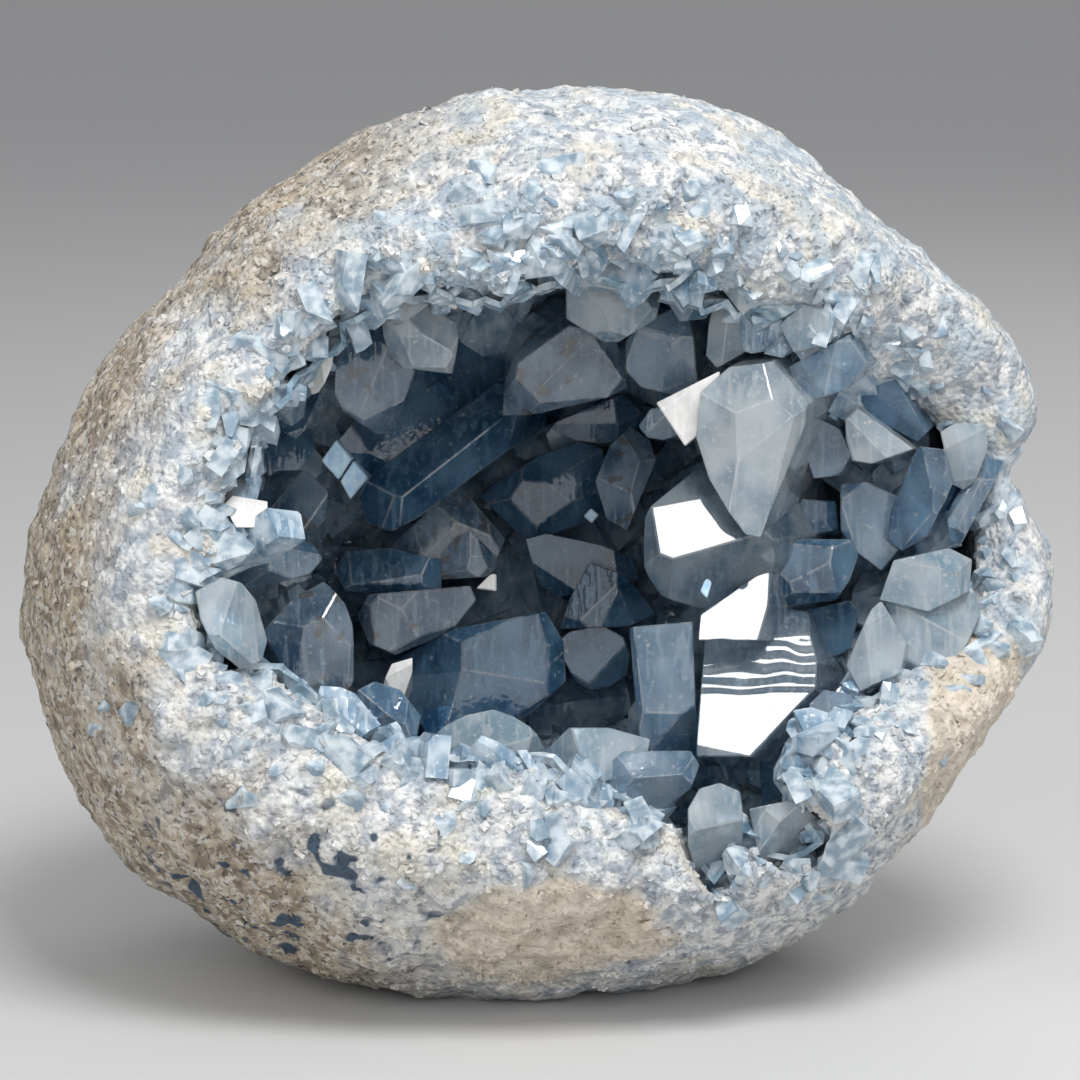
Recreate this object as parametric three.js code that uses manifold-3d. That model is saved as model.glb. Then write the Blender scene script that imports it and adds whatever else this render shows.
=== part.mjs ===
// A celestite geode, broken open at the front: a hollow stone nodule lined with pale and deep blue crystals.
// Two pieces, in millimetres: the rind, which is the nodule's thick stone shell with a sugary lip, and the
// crystal crust, which lines the hollow and has grown together into one body.
// The mouth looks toward -Y and up by LEAN. Axes of the geode: U to the right, V up the mouth, W out of it.
import * as THREE from "three";
import { ConvexGeometry } from "three/addons/geometries/ConvexGeometry.js";
import { mergeVertices } from "three/addons/utils/BufferGeometryUtils.js";
import Module from "manifold-3d";

// Driving dimensions
const LEAN = 10; // degrees by which the mouth looks up
const SIGHT = 750; // distance from which the outlines of the crystals were drawn on the plane W = 0
const BACK_DEPTH = 70; // how far the nodule reaches behind its middle plane
const FRONT_DEPTH = 75; // half depth of the ellipse that the front of the nodule follows
const HOLLOW_DEPTH = 56; // how far the hollow reaches behind the middle plane
const LIP_HEIGHT = 8; // from the nose of the lip down to the edge of the mouth
const LINING = 5; // thickness of the crystal lining
const GAP = 0.5; // clearance between rind and crust
const WAY_OUT = 80; // height over the middle plane up to which crystals may reach out of the mouth
const SEAT_SCALE = 1.12; // how much wider than its crystal a seat in the lip is
const FLAT_BELOW = 73; // how far below the middle the underside is worn to the flat that the geode rests on
const OUTER_STEPS = 72; // steps round the outside
const INNER_STEPS = 36; // steps round the hollow and its lining
const NOTCH = { at: 8.5, width: 5.5, depth: 6 }; // the break in the right edge: degrees, degrees, mm
const LUMPS = 0.75; // height of the stone's low lumps
const ORIGIN = new THREE.Vector3(0.3, -4.3, 73); // places the geode over the middle of its own floor plan

// Round the mouth, one value every 10 degrees from the right, counter-clockwise
const OUTLINE = [
  89, 88.5, 89.5, 85.5, 82, 80, 81.5, 80.5, 79.5, 78.5, 78, 77.5,
  77, 77, 77, 79, 82.5, 84.5, 88.5, 89.5, 90.5, 90.5, 89.5, 87,
  84.5, 81.5, 79, 78, 78, 79, 80.5, 81.5, 81.5, 81.5, 84.5, 88.5,
];
const MOUTH = [
  73.5, 77, 64.5, 58.5, 56, 52.5, 49.5, 47.5, 47, 44, 41.5, 44,
  49, 49.5, 49, 50, 51, 50.5, 49.5, 49.5, 48.5, 47, 42.5, 41.5,
  40, 37.5, 35.5, 36, 39.5, 47, 53, 58, 56.5, 58, 64.5, 75,
];
const NOSE = [
  12, 8, 14, 24, 32, 38, 43, 46, 48, 50, 51, 52,
  52, 52, 52, 52, 52, 52, 52, 52, 53, 54, 54, 55,
  55, 55, 54, 54, 52, 50, 47, 44, 40, 36, 26, 18,
];
const WALL = [
  14, 12, 14, 15, 16, 17, 18, 18, 18, 18, 18, 18,
  19, 20, 20, 20, 20, 20, 20, 20, 20, 20, 20, 20,
  19, 19, 18, 18, 17, 16, 15, 14, 14, 14, 14, 14,
];

// The crystals that give the hollow its look, from the upper left round to the lower right.
// outline: corners as seen from the front. depth: W of the front and of the root. lean: how far the root lies
// right and up for each unit of depth. facets: a point of the facet, how far it lies below the front, and how
// much the facet faces right and up for each unit that it faces out. seated: grown on the lip, in a seat.
const CRYSTALS = [
  { // hanging grey plate
    outline: [[-35, 41.5], [-35.5, 26], [-34, 23], [-28, 19], [-25, 20], [-21.5, 30], [-25, 37],
      [-30.5, 42]],
    depth: [26, 4],
    facets: [[-28, 30, 0, 0.12, -0.05], [-23, 25, 0.6, 1.7, -0.4], [-31, 21.5, 0.5, -0.8, -1.5]],
  },
  { // milky lump on the roof
    outline: [[-27, 36], [-26, 33], [-23.5, 30.5], [-15, 29.5], [-14, 35.5], [-14.5, 38.5],
      [-24, 44], [-27.5, 41]],
    depth: [33, 12],
    facets: [[-20, 36, 0, 0, -0.3], [-19, 31.5, 0.4, 0, -1.6], [-15.5, 35, 0.5, 1.4, 0]],
  },
  { // pale lump above it
    outline: [[-28.5, 44], [-27.5, 39], [-24, 38], [-19, 41.5], [-18, 48], [-24, 50], [-28, 48]],
    depth: [37, 16],
    facets: [[-24, 43, 0, -0.3, -0.2], [-25, 40, 0.3, -0.4, -1.3]],
  },
  { // cream lump at the mouth's edge
    outline: [[-19, 45.5], [-17, 42], [-14.5, 40.5], [-13, 44], [-12, 49], [-18, 50]],
    depth: [40, 20],
    facets: [[-15.5, 45, 0, 0.1, -0.3], [-15.5, 42, 0.4, 0, -1.5]],
  },
  { // lumps on the roof, left of the middle
    outline: [[-12, 49], [-10.5, 44], [-7, 41.5], [-4.5, 41.5], [-1.5, 43], [1.5, 47.5], [2, 52],
      [-9, 53]],
    depth: [36, 10],
    facets: [[-5, 47, 0, -0.1, -0.4], [-5, 43, 0.8, 0, -1.6], [0, 46, 0.6, 1.3, -0.6]],
  },
  { // lump on the roof, right of the middle
    outline: [[3.5, 50], [3, 46.5], [5, 44.5], [10.5, 43.5], [17, 44.5], [18, 50], [10.5, 53], [6, 53]],
    depth: [38, 14],
    facets: [[10, 48, 0, 0, -0.3], [10, 45.5, 0.5, 0.1, -1.4], [5, 47, 0.4, -1.3, 0]],
  },
  { // glassy lobes below it
    outline: [[4.5, 46], [4.5, 39], [7, 37.5], [11, 35], [13.5, 35], [16, 36.5], [20, 39],
      [21, 43], [17, 47]],
    depth: [29, 2],
    facets: [[12, 41, 0, 0.1, -0.2], [10, 37.5, 0.7, -0.3, -1.5], [18, 39.5, 0.7, 0.9, -0.9]],
  },
  { // long deep blue prism, lying across the left of the hollow
    outline: [[-34.5, 6.5], [-33, 2], [-28, 1], [-24, 3], [-10.5, 13.5], [-8.5, 20.5], [-9, 24.5],
      [-13.5, 24.5], [-31.5, 11]],
    depth: [18, -44], lean: [0.35, 0.2],
    facets: [[-19, 12, 6, -0.2, 0.8], [-19, 12, 6, 0.82, -0.47], [-30, 4.5, 5, -1.5, -0.9]],
  },
  { // broad blue blade behind it, with a bright end
    outline: [[-37.5, 12.5], [-35, 18], [-14.5, 42], [1, 48], [3.5, 45], [-7, 25], [-17, 20.5],
      [-33.5, 9]],
    depth: [6, -48], lean: [0.2, 0.1],
    facets: [[-30, 17, 0, 0.35, 0.25], [-34.5, 13, 1, -1.1, -0.4]],
  },
  { // smoky crystal hanging from the roof
    outline: [[-6.5, 21], [-6, 27.5], [-4.5, 32], [-1, 36], [4.5, 38], [12.5, 36.5], [14.5, 30], [15, 26],
      [10.5, 25], [0, 22]],
    depth: [17, -14], lean: [0, 0.3],
    facets: [[2, 29, 0, 0.05, -0.05], [0, 24.5, 0.2, 0.15, -1.2], [-4.5, 28, 0.3, -1.4, 0.2],
      [-2, 33, 0.3, -0.8, 1.1]],
  },
  { // small pale block
    outline: [[-44.5, 6.5], [-39, 12.5], [-38, 13], [-35, 9.5], [-34.5, 4.5], [-37.5, 2], [-43, 3]],
    depth: [18, -12], lean: [-0.5, 0],
    facets: [[-39, 8, 0, -0.1, 0.1], [-39, 3.5, 0.4, 0, -1.5]],
  },
  { // white cube at the left edge
    outline: [[-54.5, 7], [-53, 8.5], [-47, 7.5], [-47, 5], [-48, 3], [-52.5, 3]],
    depth: [47, 24], seated: true,
    facets: [[-50.5, 6, 0, 0.15, 0.1]],
  },
  { // white splinter
    outline: [[-40, 30], [-39, 25.5], [-38, 26], [-35.5, 30.5], [-35, 33.5], [-38, 35]],
    depth: [34, 16], lean: [-0.3, 0.3],
    facets: [[-37.5, 30, 0, 0.4, -0.1], [-39, 29, 0.3, -1.2, 0]],
  },
  { // dark crystals in the upper left corner
    outline: [[-45.5, 27.5], [-45, 20], [-41.5, 18], [-37, 25], [-36, 29.5], [-41.5, 31]],
    depth: [8, -26], lean: [-0.3, 0.1],
    facets: [[-41, 25, 0, 0.4, -0.3], [-44, 24, 0.8, -1, 0.1]],
  },
  { // dark crystal below them
    outline: [[-48, 18], [-46.5, 11], [-41.5, 12], [-37.5, 16.5], [-38, 20], [-43, 20.5]],
    depth: [6, -26], lean: [-0.3, 0],
    facets: [[-43, 16, 0, 0.3, 0.4], [-43, 13, 0.5, 0.1, -1.1]],
  },
  { // lilac upright crystal, lower left
    outline: [[-36, -5], [-41.5, -8], [-47, -14], [-45, -18], [-41.5, -26.5], [-37.5, -28], [-33.5, -26],
      [-31.5, -23], [-31.5, -13], [-32.5, -9.5]],
    depth: [27, -4], lean: [-0.2, -0.2],
    facets: [[-37.5, -20, 0, -0.38, 0.05], [-37.5, -20, 0, 0.58, -0.06], [-38, -13, 0.2, -0.1, 0.6]],
  },
  { // pale crystal on the left lip
    outline: [[-59.5, -8], [-55, -5.5], [-51.5, -6.5], [-49, -9.5], [-47, -16.5], [-48, -20],
      [-51.5, -21.5], [-56, -18], [-58.5, -13]],
    depth: [54, 26], seated: true,
    facets: [[-54, -12, 1.5, 0.5, 0], [-49, -13, 4, 1.6, 0.1]],
  },
  { // blue-grey blocks at the left
    outline: [[-52, -6], [-51, -2.5], [-48, 1], [-43, 2.5], [-37, 0], [-36, -2.5], [-38.5, -5],
      [-50, -8]],
    depth: [24, -2], lean: [-0.4, 0],
    facets: [[-44, -2, 0, 0.3, 0.35], [-45, -5, 0.6, 0, -0.9], [-38.5, -2, 1, 1.3, 0]],
  },
  { // grey crystal under the long prism
    outline: [[-25.5, 0], [-16.5, 8.5], [-14, 10.5], [-6, 1], [-7.5, -2.5], [-22.5, -7], [-26, -7]],
    depth: [-4, -46],
    facets: [[-17, 1, 0, -0.1, 0.1], [-9, 3, 0.4, 1.2, 0.7], [-19, -5.5, 0.5, 0.2, -1]],
  },
  { // clear grey wedge
    outline: [[-18, -6], [-17, -1.5], [-14.5, 1.5], [-12, 2.5], [-10.5, 1], [-7.5, -2],
      [-7.5, -4], [-9.5, -5.5]],
    depth: [0, -36],
    facets: [[-13, -2, 0, 0, 0.1], [-9.5, -2, 0.4, 1.3, 0.5], [-16.5, -2, 0.4, -1.1, 0.4]],
  },
  { // dark block in the middle left
    outline: [[-33.5, -1], [-26, -0.5], [-17, -2.5], [-17, -8], [-24, -8.5], [-33.5, -8], [-35.5, -4.5]],
    depth: [4, -38],
    facets: [[-26, -4, 0, 0, 0.15], [-26, -7, 0.4, 0, -1.2]],
  },
  { // grey lump under it
    outline: [[-29.5, -8.5], [-23, -8], [-12, -7], [-11, -9.5], [-14.5, -14], [-19, -16.5], [-25, -19],
      [-29.5, -17], [-31.5, -12]],
    depth: [5, -36],
    facets: [[-22, -12, 0, 0.1, 0.2], [-17, -14, 0.3, 0.6, -1.1]],
  },
  { // small bright crystal in the middle
    outline: [[-11, -7.5], [-8.5, -5], [-7.5, -5], [-7.5, -8]],
    depth: [3, -50],
    facets: [[-8.5, -6.5, 0, 0.08, 0.45]],
  },
  { // dark crystals deep in the middle
    outline: [[-10.5, 8.5], [-7, 11], [0, 15.5], [7, 18], [11, 16.5], [11, 6], [7, 3.5], [1, 1.5],
      [-2.5, 1], [-7, 5]],
    depth: [-16, -52],
    facets: [[2, 10, 0, 0.15, 0.2], [-5, 7, 0.3, -0.5, -0.5], [6, 7, 0.6, 0.5, -0.7]],
  },
  { // teal blade under the roof
    outline: [[1, 20.5], [14, 26], [18, 22.5], [17, 19], [10.5, 17.5], [6, 18]],
    depth: [-8, -50],
    facets: [[10, 21, 0, 0, -0.4]],
  },
  { // slabs under the dark crystals
    outline: [[-2.5, 1], [1, 2], [10.5, 0], [16.5, -2.5], [17, -6], [10.5, -7], [3.5, -9],
      [0, -7], [-1.5, -2.5]],
    depth: [-11, -52],
    facets: [[7, -2, 0, -0.1, 0.4], [3, -5, 0.6, -0.5, -0.5], [12, -5, 0.7, 0.2, -0.9]],
  },
  { // teal three-sided crystal
    outline: [[3.5, -14.5], [5, -9.5], [8.5, -3], [14.5, -5], [19, -10.5], [20, -12], [15.5, -14]],
    depth: [-3, -46],
    facets: [[10, -10, 0, -0.2, 0.2], [14, -9, 0.2, 0.7, 0.1]],
  },
  { // dark eight-sided crystal
    outline: [[2.5, -17], [5, -15], [10.5, -13.5], [14.5, -16], [15.5, -19], [15, -22.5], [12, -24.5],
      [8.5, -25], [6, -23.5]],
    depth: [1, -44],
    facets: [[9, -18.5, 0, -0.6, 0.5], [9, -18.5, 0, 0.6, 0.6], [9, -18.5, 0, -0.5, -0.8],
      [9, -18.5, 0, 0.6, -0.6]],
  },
  { // big teal block, bottom of the hollow
    outline: [[-25, -20], [-21.5, -18], [-15.5, -14.5], [1, -11.5], [4, -16.5], [4.5, -23.5], [-1.5, -29],
      [-5, -31], [-19, -33], [-24, -26.5]],
    depth: [7, -38],
    facets: [[-10, -22, 0, 0.04, 0.25], [1, -18, 0.5, 1, 0.1], [-18, -18, 1.5, -0.4, 1.2],
      [-21, -25, 0.5, -0.9, -0.2]],
  },
  { // pale chip beside it
    outline: [[-27, -23.5], [-25.5, -20], [-22, -19], [-22, -21.5], [-24, -27]],
    depth: [11, -20], lean: [0, -0.3],
    facets: [[-24.5, -22, 0, -0.3, 0.2]],
  },
  { // clear crystal with a white top, at the bottom edge
    outline: [[-20.5, -33.5], [-16.5, -29], [-13, -27], [-8, -26], [-4.5, -28], [1.5, -33.5], [-3.5, -37],
      [-15.5, -37]],
    depth: [38, 10], lean: [0, -0.6],
    facets: [[-9, -32, 0, 0.05, 0.35], [-10, -28.5, 1, -0.2, 1.6], [-2, -31, 1, 1, 0.8]],
  },
  { // blue blocks at the bottom edge
    outline: [[-31.5, -25], [-28.5, -23.5], [-24, -25], [-20.5, -29.5], [-21.5, -34.5],
      [-27.5, -35], [-32, -29.5]],
    depth: [33, 6],
    facets: [[-27, -29, 0, 0.1, 0.4], [-23.5, -29, 0.5, 1.2, 0.5]],
  },
  { // pale crystals on the bottom edge
    outline: [[0, -36.5], [5, -31.5], [12, -31.5], [19, -33.5], [18, -39], [10.5, -41], [2, -40]],
    depth: [40, 10],
    facets: [[9, -35, 0, 0, 0.4], [4, -34, 0.4, -0.9, 0.7]],
  },
  { // pale crystals on the lower left edge
    outline: [[-47, -26.5], [-41.5, -25], [-34.5, -27.5], [-33, -31], [-38, -34], [-45.5, -30]],
    depth: [38, 16],
    facets: [[-40, -29, 0, 0.3, 0.5]],
  },
  { // green-grey block under the roof
    outline: [[14.5, 34.5], [17, 38], [25, 41.5], [26.5, 35.5], [27, 27.5], [23.5, 25],
      [17, 26.5], [14.5, 29.5]],
    depth: [20, -14], lean: [0.1, 0.2],
    facets: [[21, 33, 0, 0.1, -0.12], [16.5, 32, 0.3, -1.2, 0], [22, 27.5, 0.3, 0.1, -1.2]],
  },
  { // small teal lump
    outline: [[17, 20.5], [19, 23.5], [21.5, 24], [24, 21.5], [24, 19], [21.5, 18], [18.5, 18.5]],
    depth: [19, -12],
    facets: [[20.5, 21, 0, -0.3, 0.3], [22.5, 20, 0.3, 0.9, -0.6]],
  },
  { // slender green-grey crystal
    outline: [[9.5, 11], [12, 17], [15.5, 20.5], [19, 18], [20, 14.5], [17, 8], [15, 2.5], [11.5, 4.5]],
    depth: [9, -40],
    facets: [[15, 12, 0, -0.5, 0.05], [15, 12, 0, 0.6, 0.15]],
  },
  { // pale blue plane, upper right
    outline: [[28.5, 37], [30, 44], [31.5, 46], [36, 42], [38.5, 37], [38.5, 35.5], [35.5, 33],
      [30, 30], [28, 32]],
    depth: [26, -2], lean: [0.2, 0.2],
    facets: [[33, 37, 0, -0.2, 0.1], [37, 36, 0.4, 1.2, -0.5]],
  },
  { // clear crystal above it
    outline: [[30, 49], [33.5, 52], [39, 50], [39.5, 45], [37, 41.5], [35, 39.5], [31.5, 44]],
    depth: [35, 10],
    facets: [[35, 46, 0, 0.2, -0.3], [32, 46, 0.4, -1.2, -0.2], [38, 45, 0.5, 1.4, -0.2]],
  },
  { // lumps between the roof and the pale plane
    outline: [[20, 45], [25, 47.5], [29.5, 48], [31, 42], [28.5, 39], [24, 38.5]],
    depth: [29, 2],
    facets: [[25, 43, 0, 0.1, -0.3], [27, 40, 0.4, 0.4, -1.4]],
  },
  { // striated crystal, leaning over the clear one
    outline: [[27, 26], [31.5, 30], [39, 31], [43, 26], [45.5, 24], [45, 20.5], [42, 13], [40, 8],
      [37.5, 1], [35, 1.5], [28.5, 11], [26, 18]],
    depth: [33, -6], lean: [0.25, 0.15],
    facets: [[36, 16, 0, 0.1, -0.12], [33.5, 29, 0.4, -0.2, 1.4], [30, 11, 0.1, -1.3, -0.75],
      [42, 16, 0.4, 1.2, -0.4]],
  },
  { // white neck beside it
    outline: [[20, 24.5], [26, 26], [28.5, 28.5], [31, 30], [31, 22], [25, 17], [24, 20]],
    depth: [30, 2],
    facets: [[26, 24, 0, -0.2, 0.1]],
  },
  { // clear crystal with the upper bright facet
    outline: [[24.5, 18], [30, 16], [37.5, 0.5], [36.5, -3.5], [33.5, -8], [26, -13], [18, -9],
      [16.5, -6], [15.5, 0], [15.5, 4.5], [20.5, 11]],
    depth: [34, -14], lean: [0.4, 0.05],
    facets: [[26, 3, 4, 0.11, 0.5], [19.8, 3, 3.4, -1.4, 0.26], [21.5, -1.8, 1.2, -0.4, -0.8],
      [29.5, -0.5, 2.7, 0.5, -0.85], [25, 7.8, 6.4, -0.1, 1.6]],
  },
  { // small white crystal between the two bright ones
    outline: [[31, -9.5], [36.5, -3.5], [37.5, -10.5], [37, -16.5], [27, -16.5], [26.5, -12]],
    depth: [30, -10], lean: [0.4, 0],
    facets: [[32, -11, 3.5, 0.1, 0.5]],
  },
  { // crystal with the lower bright facet
    outline: [[25.5, -14], [27.5, -10.5], [37, -9], [41.5, -10], [45, -19], [45.5, -25],
      [36.5, -36.5], [27, -36.5]],
    depth: [32, -16], lean: [0.3, -0.1],
    facets: [[36, -28, 4, 0.1, 0.5], [36, -15, 9, 0.05, 0.05], [41.5, -31, 3.2, 1.5, -0.9]],
  },
  { // slate blue upright block beside it
    outline: [[15, -13.5], [26, -12.5], [26, -16.5], [27, -35.5], [20, -36.5], [17, -33], [16, -25]],
    depth: [28, -12], lean: [0.1, -0.2],
    facets: [[22, -24, 1.5, 0, 0.15], [17.2, -24, 1.6, -1.4, 0]],
  },
  { // blue block lying on the bottom edge
    outline: [[10, -39], [14.5, -35.5], [26, -35.5], [27.5, -38], [26, -42], [21.5, -45.5],
      [14, -44], [10.5, -42]],
    depth: [42, 14], seated: true,
    facets: [[18, -40, 0, 0, 0.7], [18, -40, 0, 0.1, -0.6]],
  },
  { // aqua upright crystal on the lower lip
    outline: [[25.5, -45.5], [27.5, -42], [31, -41], [34.5, -42.5], [35, -46.5], [35, -52.5], [33, -58],
      [30.5, -60.5], [27, -58], [25.5, -51.5]],
    depth: [50, 26], seated: true,
    facets: [[30, -50, 1, -0.4, 0.1], [30, -50, 1, 0.45, 0.1], [31, -43.5, 2, 0, 1.4],
      [30, -57, 1.5, 0, -1]],
  },
  { // dark streaked crystal right of the bright one
    outline: [[37.5, -35], [45, -26.5], [47.5, -30], [47, -37], [43, -45], [38, -46]],
    depth: [22, -12], lean: [0.1, -0.2],
    facets: [[43, -36, 0, 0.2, 0.3], [39.5, -38, 0.5, -0.9, 0]],
  },
  { // rounded lobe at the right
    outline: [[45, -26.5], [47.5, -24], [52.5, -25], [54, -30], [51, -33.5], [45.5, -33]],
    depth: [30, -2], lean: [0.3, -0.2],
    facets: [[49.5, -29, 0, 0, 0.3], [46.5, -29, 0.5, -1.1, 0], [50, -32, 0.4, 0.3, -1]],
  },
  { // lobe below it
    outline: [[47, -34.5], [50, -33.5], [55, -37], [54, -42], [48.5, -43.5], [45.5, -40]],
    depth: [34, 6], lean: [0.2, -0.2],
    facets: [[50, -38, 0, 0.2, 0.3], [47.5, -38, 0.5, -1, 0.1]],
  },
  { // pale lumps on the lower right lip
    outline: [[36, -45.5], [43, -44], [49, -47.5], [50, -52.5], [45, -56], [38, -55]],
    depth: [44, 22], seated: true,
    facets: [[43, -50, 0, 0.1, 0.3], [39, -49, 0.5, -0.9, 0.1], [46, -53, 0.8, 0.6, -0.9]],
  },
  { // slate crystal, upper right
    outline: [[40, 29], [47, 30.5], [56.5, 38], [58, 34.5], [55, 29.5], [51.5, 26], [47.5, 25], [45, 24],
      [43, 25.5]],
    depth: [30, -2], lean: [0.3, 0.2],
    facets: [[50, 31, 0, 0.1, 0.1], [45, 27, 0.3, -0.2, -0.8]],
  },
  { // dark crystal hanging at the upper right
    outline: [[53, 25], [55, 32], [58.5, 34.5], [63, 34], [66.5, 26], [67.5, 20], [64.5, 17], [57, 20.5]],
    depth: [18, -14], lean: [0.2, 0.2],
    facets: [[60, 27, 0, -0.1, -0.2], [60, 21, 0.6, -0.2, -1.3]],
  },
  { // speckled wedge
    outline: [[52.5, 23], [54, 24], [56.5, 20.5], [63.5, 17], [64, 16.5], [57, 14], [53.5, 14.5],
      [52.5, 18]],
    depth: [20, -14], lean: [0.2, 0],
    facets: [[56, 18, 0, 0.2, 0.2]],
  },
  { // dark rounded crystal
    outline: [[45.5, 15.5], [46, 20.5], [48.5, 21.5], [51.5, 20], [53.5, 15.5], [51.5, 12], [47, 11.5]],
    depth: [17, -20], lean: [0.1, 0],
    facets: [[49, 17, 0, -0.2, 0.3], [50, 13.5, 0.5, 0.4, -1]],
  },
  { // upright slate crystal, right
    outline: [[60, 5.5], [64.5, 16], [65.5, 17], [69.5, 16.5], [71, 10.5], [70, 8], [66.5, 1.5], [62, -1],
      [59.5, 1]],
    depth: [20, -14], lean: [0.1, 0],
    facets: [[67, 8, 0, 0.15, -0.1], [62.5, 9, 0.1, -1.1, 0.5]],
  },
  { // blade in the notch of the right edge
    outline: [[70, 5], [71.5, 8], [76.5, 15.5], [80, 14.5], [78.5, 11], [75, 4.5], [72.5, 0], [70.5, 1]],
    depth: [13, -12],
    facets: [[74.5, 8, 0, 0.2, -0.1], [72.5, 8, 0.3, -1.2, 0.8]],
  },
  { // pale block above the blade
    outline: [[69, 19.5], [71.5, 21], [77, 21], [77, 16], [75, 11], [73, 9.5], [71, 10.5]],
    depth: [17, -8],
    facets: [[73, 16, 0, 0.1, -0.2]],
  },
  { // pale blue crystal, middle right
    outline: [[51.5, 10.5], [56, 11], [62, 8], [63, 1], [58.5, -4.5], [54.5, -1.5], [51.5, 2.5]],
    depth: [16, -24], lean: [0.1, 0],
    facets: [[57, 4, 0, 0.1, 0.3], [54, 5, 0.5, -0.9, 0.1]],
  },
  { // deep blue block, right of the middle
    outline: [[37, -4.5], [39, -1], [45, 1], [53.5, 1], [55, -1.5], [53.5, -6], [51, -9.5],
      [43, -10.5], [39, -8]],
    depth: [19, -24],
    facets: [[46, -5, 0, -0.1, 0.2], [46, -8.5, 0.4, 0, -1.1], [45, -0.5, 0.4, 0, 1.3]],
  },
  { // blue crystal below it
    outline: [[45, -11.5], [53.5, -9.5], [55, -12], [53.5, -18], [47.5, -21], [46, -16.5]],
    depth: [14, -26],
    facets: [[50, -15, 0, 0.2, 0.2]],
  },
  { // small crystals beside the striated one
    outline: [[45, 8], [51, 7.5], [51.5, 2.5], [45.5, 1.5], [44, 4.5]],
    depth: [12, -30],
    facets: [[48, 5, 0, 0, 0.4]],
  },
  { // narrow crystal between them
    outline: [[39, 11], [45, 13.5], [44.4, 7.5], [40.5, 2.5], [39, 4.5]],
    depth: [12, -30],
    facets: [[42, 8, 0, 0.3, 0.2]],
  },
  { // pale crystal, lower right
    outline: [[52.5, -20.5], [57, -11], [58.5, -9.5], [63, -16.5], [62, -22], [55, -25]],
    depth: [26, -14], lean: [0.1, -0.1],
    facets: [[58, -17, 0, 0.1, 0.2], [55, -17, 0.3, -1.1, 0.4]],
  },
  { // pale crystal pointing right
    outline: [[60.5, -6.5], [61, -2.5], [70.5, -0.5], [74.5, -2.5], [74, -8], [67, -11.5], [58.5, -9.5]],
    depth: [22, -14],
    facets: [[67, -5, 0, 0.1, 0.5], [66, -9.5, 1, 0, -0.6]],
  },
  { // big pale crystal at the right edge
    outline: [[62, -15.5], [59.5, -10], [67, -10.5], [75, -8], [76, -12], [73, -18.5], [68, -23],
      [63, -22]],
    depth: [21, -12],
    facets: [[69, -15, 0, 0.2, 0.3], [65, -19, 0.5, -0.5, -0.8]],
  },
  { // lumps at the upper right edge
    outline: [[40.5, 37], [45, 41], [50, 40], [50, 34.5], [43, 32]],
    depth: [33, 6], lean: [0.2, 0.3],
    facets: [[45, 37, 0, 0, 0.2], [42.5, 35, 0.4, -1, -0.4]],
  },
];

const TURN = Math.PI * 2;
const RAD = Math.PI / 180;

// Smooth value of a table that goes once round the mouth.
function around(table, angle) {
  const place = (((angle / TURN) % 1) + 1) % 1 * table.length;
  const step = Math.floor(place);
  const t = place - step;
  const [a, b, c, d] = [-1, 0, 1, 2].map((k) => table[(step + k + table.length) % table.length]);
  return b + 0.5 * t * (c - a + t * (2 * a - 5 * b + 4 * c - d + t * (3 * (b - c) + d - a)));
}

// How far a point of the stone stands out on its low lumps.
function lumps(u, v, w) {
  const broad = Math.sin(u * 0.11 + 1.3) * Math.sin(v * 0.13 + 0.4) + Math.sin(w * 0.12 + u * 0.05);
  const close = Math.sin(u * 0.31 - v * 0.22 + 2) * Math.sin(v * 0.27 + w * 0.33);
  return LUMPS * (broad + close);
}

// The same sequence of numbers from 0 to 1 each time.
function sequence(seed) {
  let state = seed;
  return () => {
    state = (state * 1664525 + 1013904223) % 4294967296;
    return state / 4294967296;
  };
}

// The nodule's outer radius, the hollow's radius and the heights of lip and mouth at one angle.
function section(angle) {
  const off = Math.abs(angle / RAD - NOTCH.at) / NOTCH.width;
  const notch = off < 1 ? NOTCH.depth * (1 - off * off) : 0;
  const outline = around(OUTLINE, angle) - notch;
  const mouth = around(MOUTH, angle);
  const nose = around(NOSE, angle);
  return {
    outline,
    mouth,
    nose,
    edge: Math.max(1.5, nose - LIP_HEIGHT),
    hollow: Math.max(outline - around(WALL, angle), mouth + 1.5),
  };
}

// A point of the hollow's wall. part runs from 0 at the mouth's edge to 1 at the deepest point.
function hollowWall({ mouth, edge, hollow }, part, inset) {
  const start = Math.acos(mouth / hollow);
  const bend = THREE.MathUtils.lerp(start, -Math.PI / 2, part);
  const deep = bend > 0 ? edge / Math.sin(start) : HOLLOW_DEPTH;
  const reach = deep - (bend < 0 ? inset : 0);
  return new THREE.Vector2((hollow - inset) * Math.cos(bend), reach * Math.sin(bend));
}

// A point of the nodule's outside. part runs from 0 at the back to 1 where the lip begins.
function outside({ outline, nose }, part) {
  const end = Math.asin(Math.max(2, nose - 4) / FRONT_DEPTH);
  const bend = THREE.MathUtils.lerp(-Math.PI / 2, end, part);
  const reach = bend > 0 ? FRONT_DEPTH : BACK_DEPTH;
  return new THREE.Vector2(outline * Math.cos(bend), reach * Math.sin(bend));
}

// How far along the stone's outside its rings lie, from the back to the lip.
const STONE_RINGS = [0, 0.12, 0.23, 0.34, 0.44, 0.54, 0.63, 0.72, 0.81, 0.91, 1];

// The profile of the stone before it is hollowed: from the back pole over the lip and across the mouth.
function stoneProfile(angle) {
  const cut = section(angle);
  const outer = STONE_RINGS.map((part) => outside(cut, part));
  const shoulder = outer.at(-1);
  const rim = new THREE.Vector2(cut.mouth - 3, cut.edge - 1);
  const brow = new THREE.Vector2(THREE.MathUtils.lerp(shoulder.x, cut.mouth, 0.42), cut.nose + 4.5);
  const lip = new THREE.QuadraticBezierCurve(shoulder, brow, rim).getPoints(4).slice(1);
  return [...outer, ...lip, new THREE.Vector2(0, 0)];
}

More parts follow.
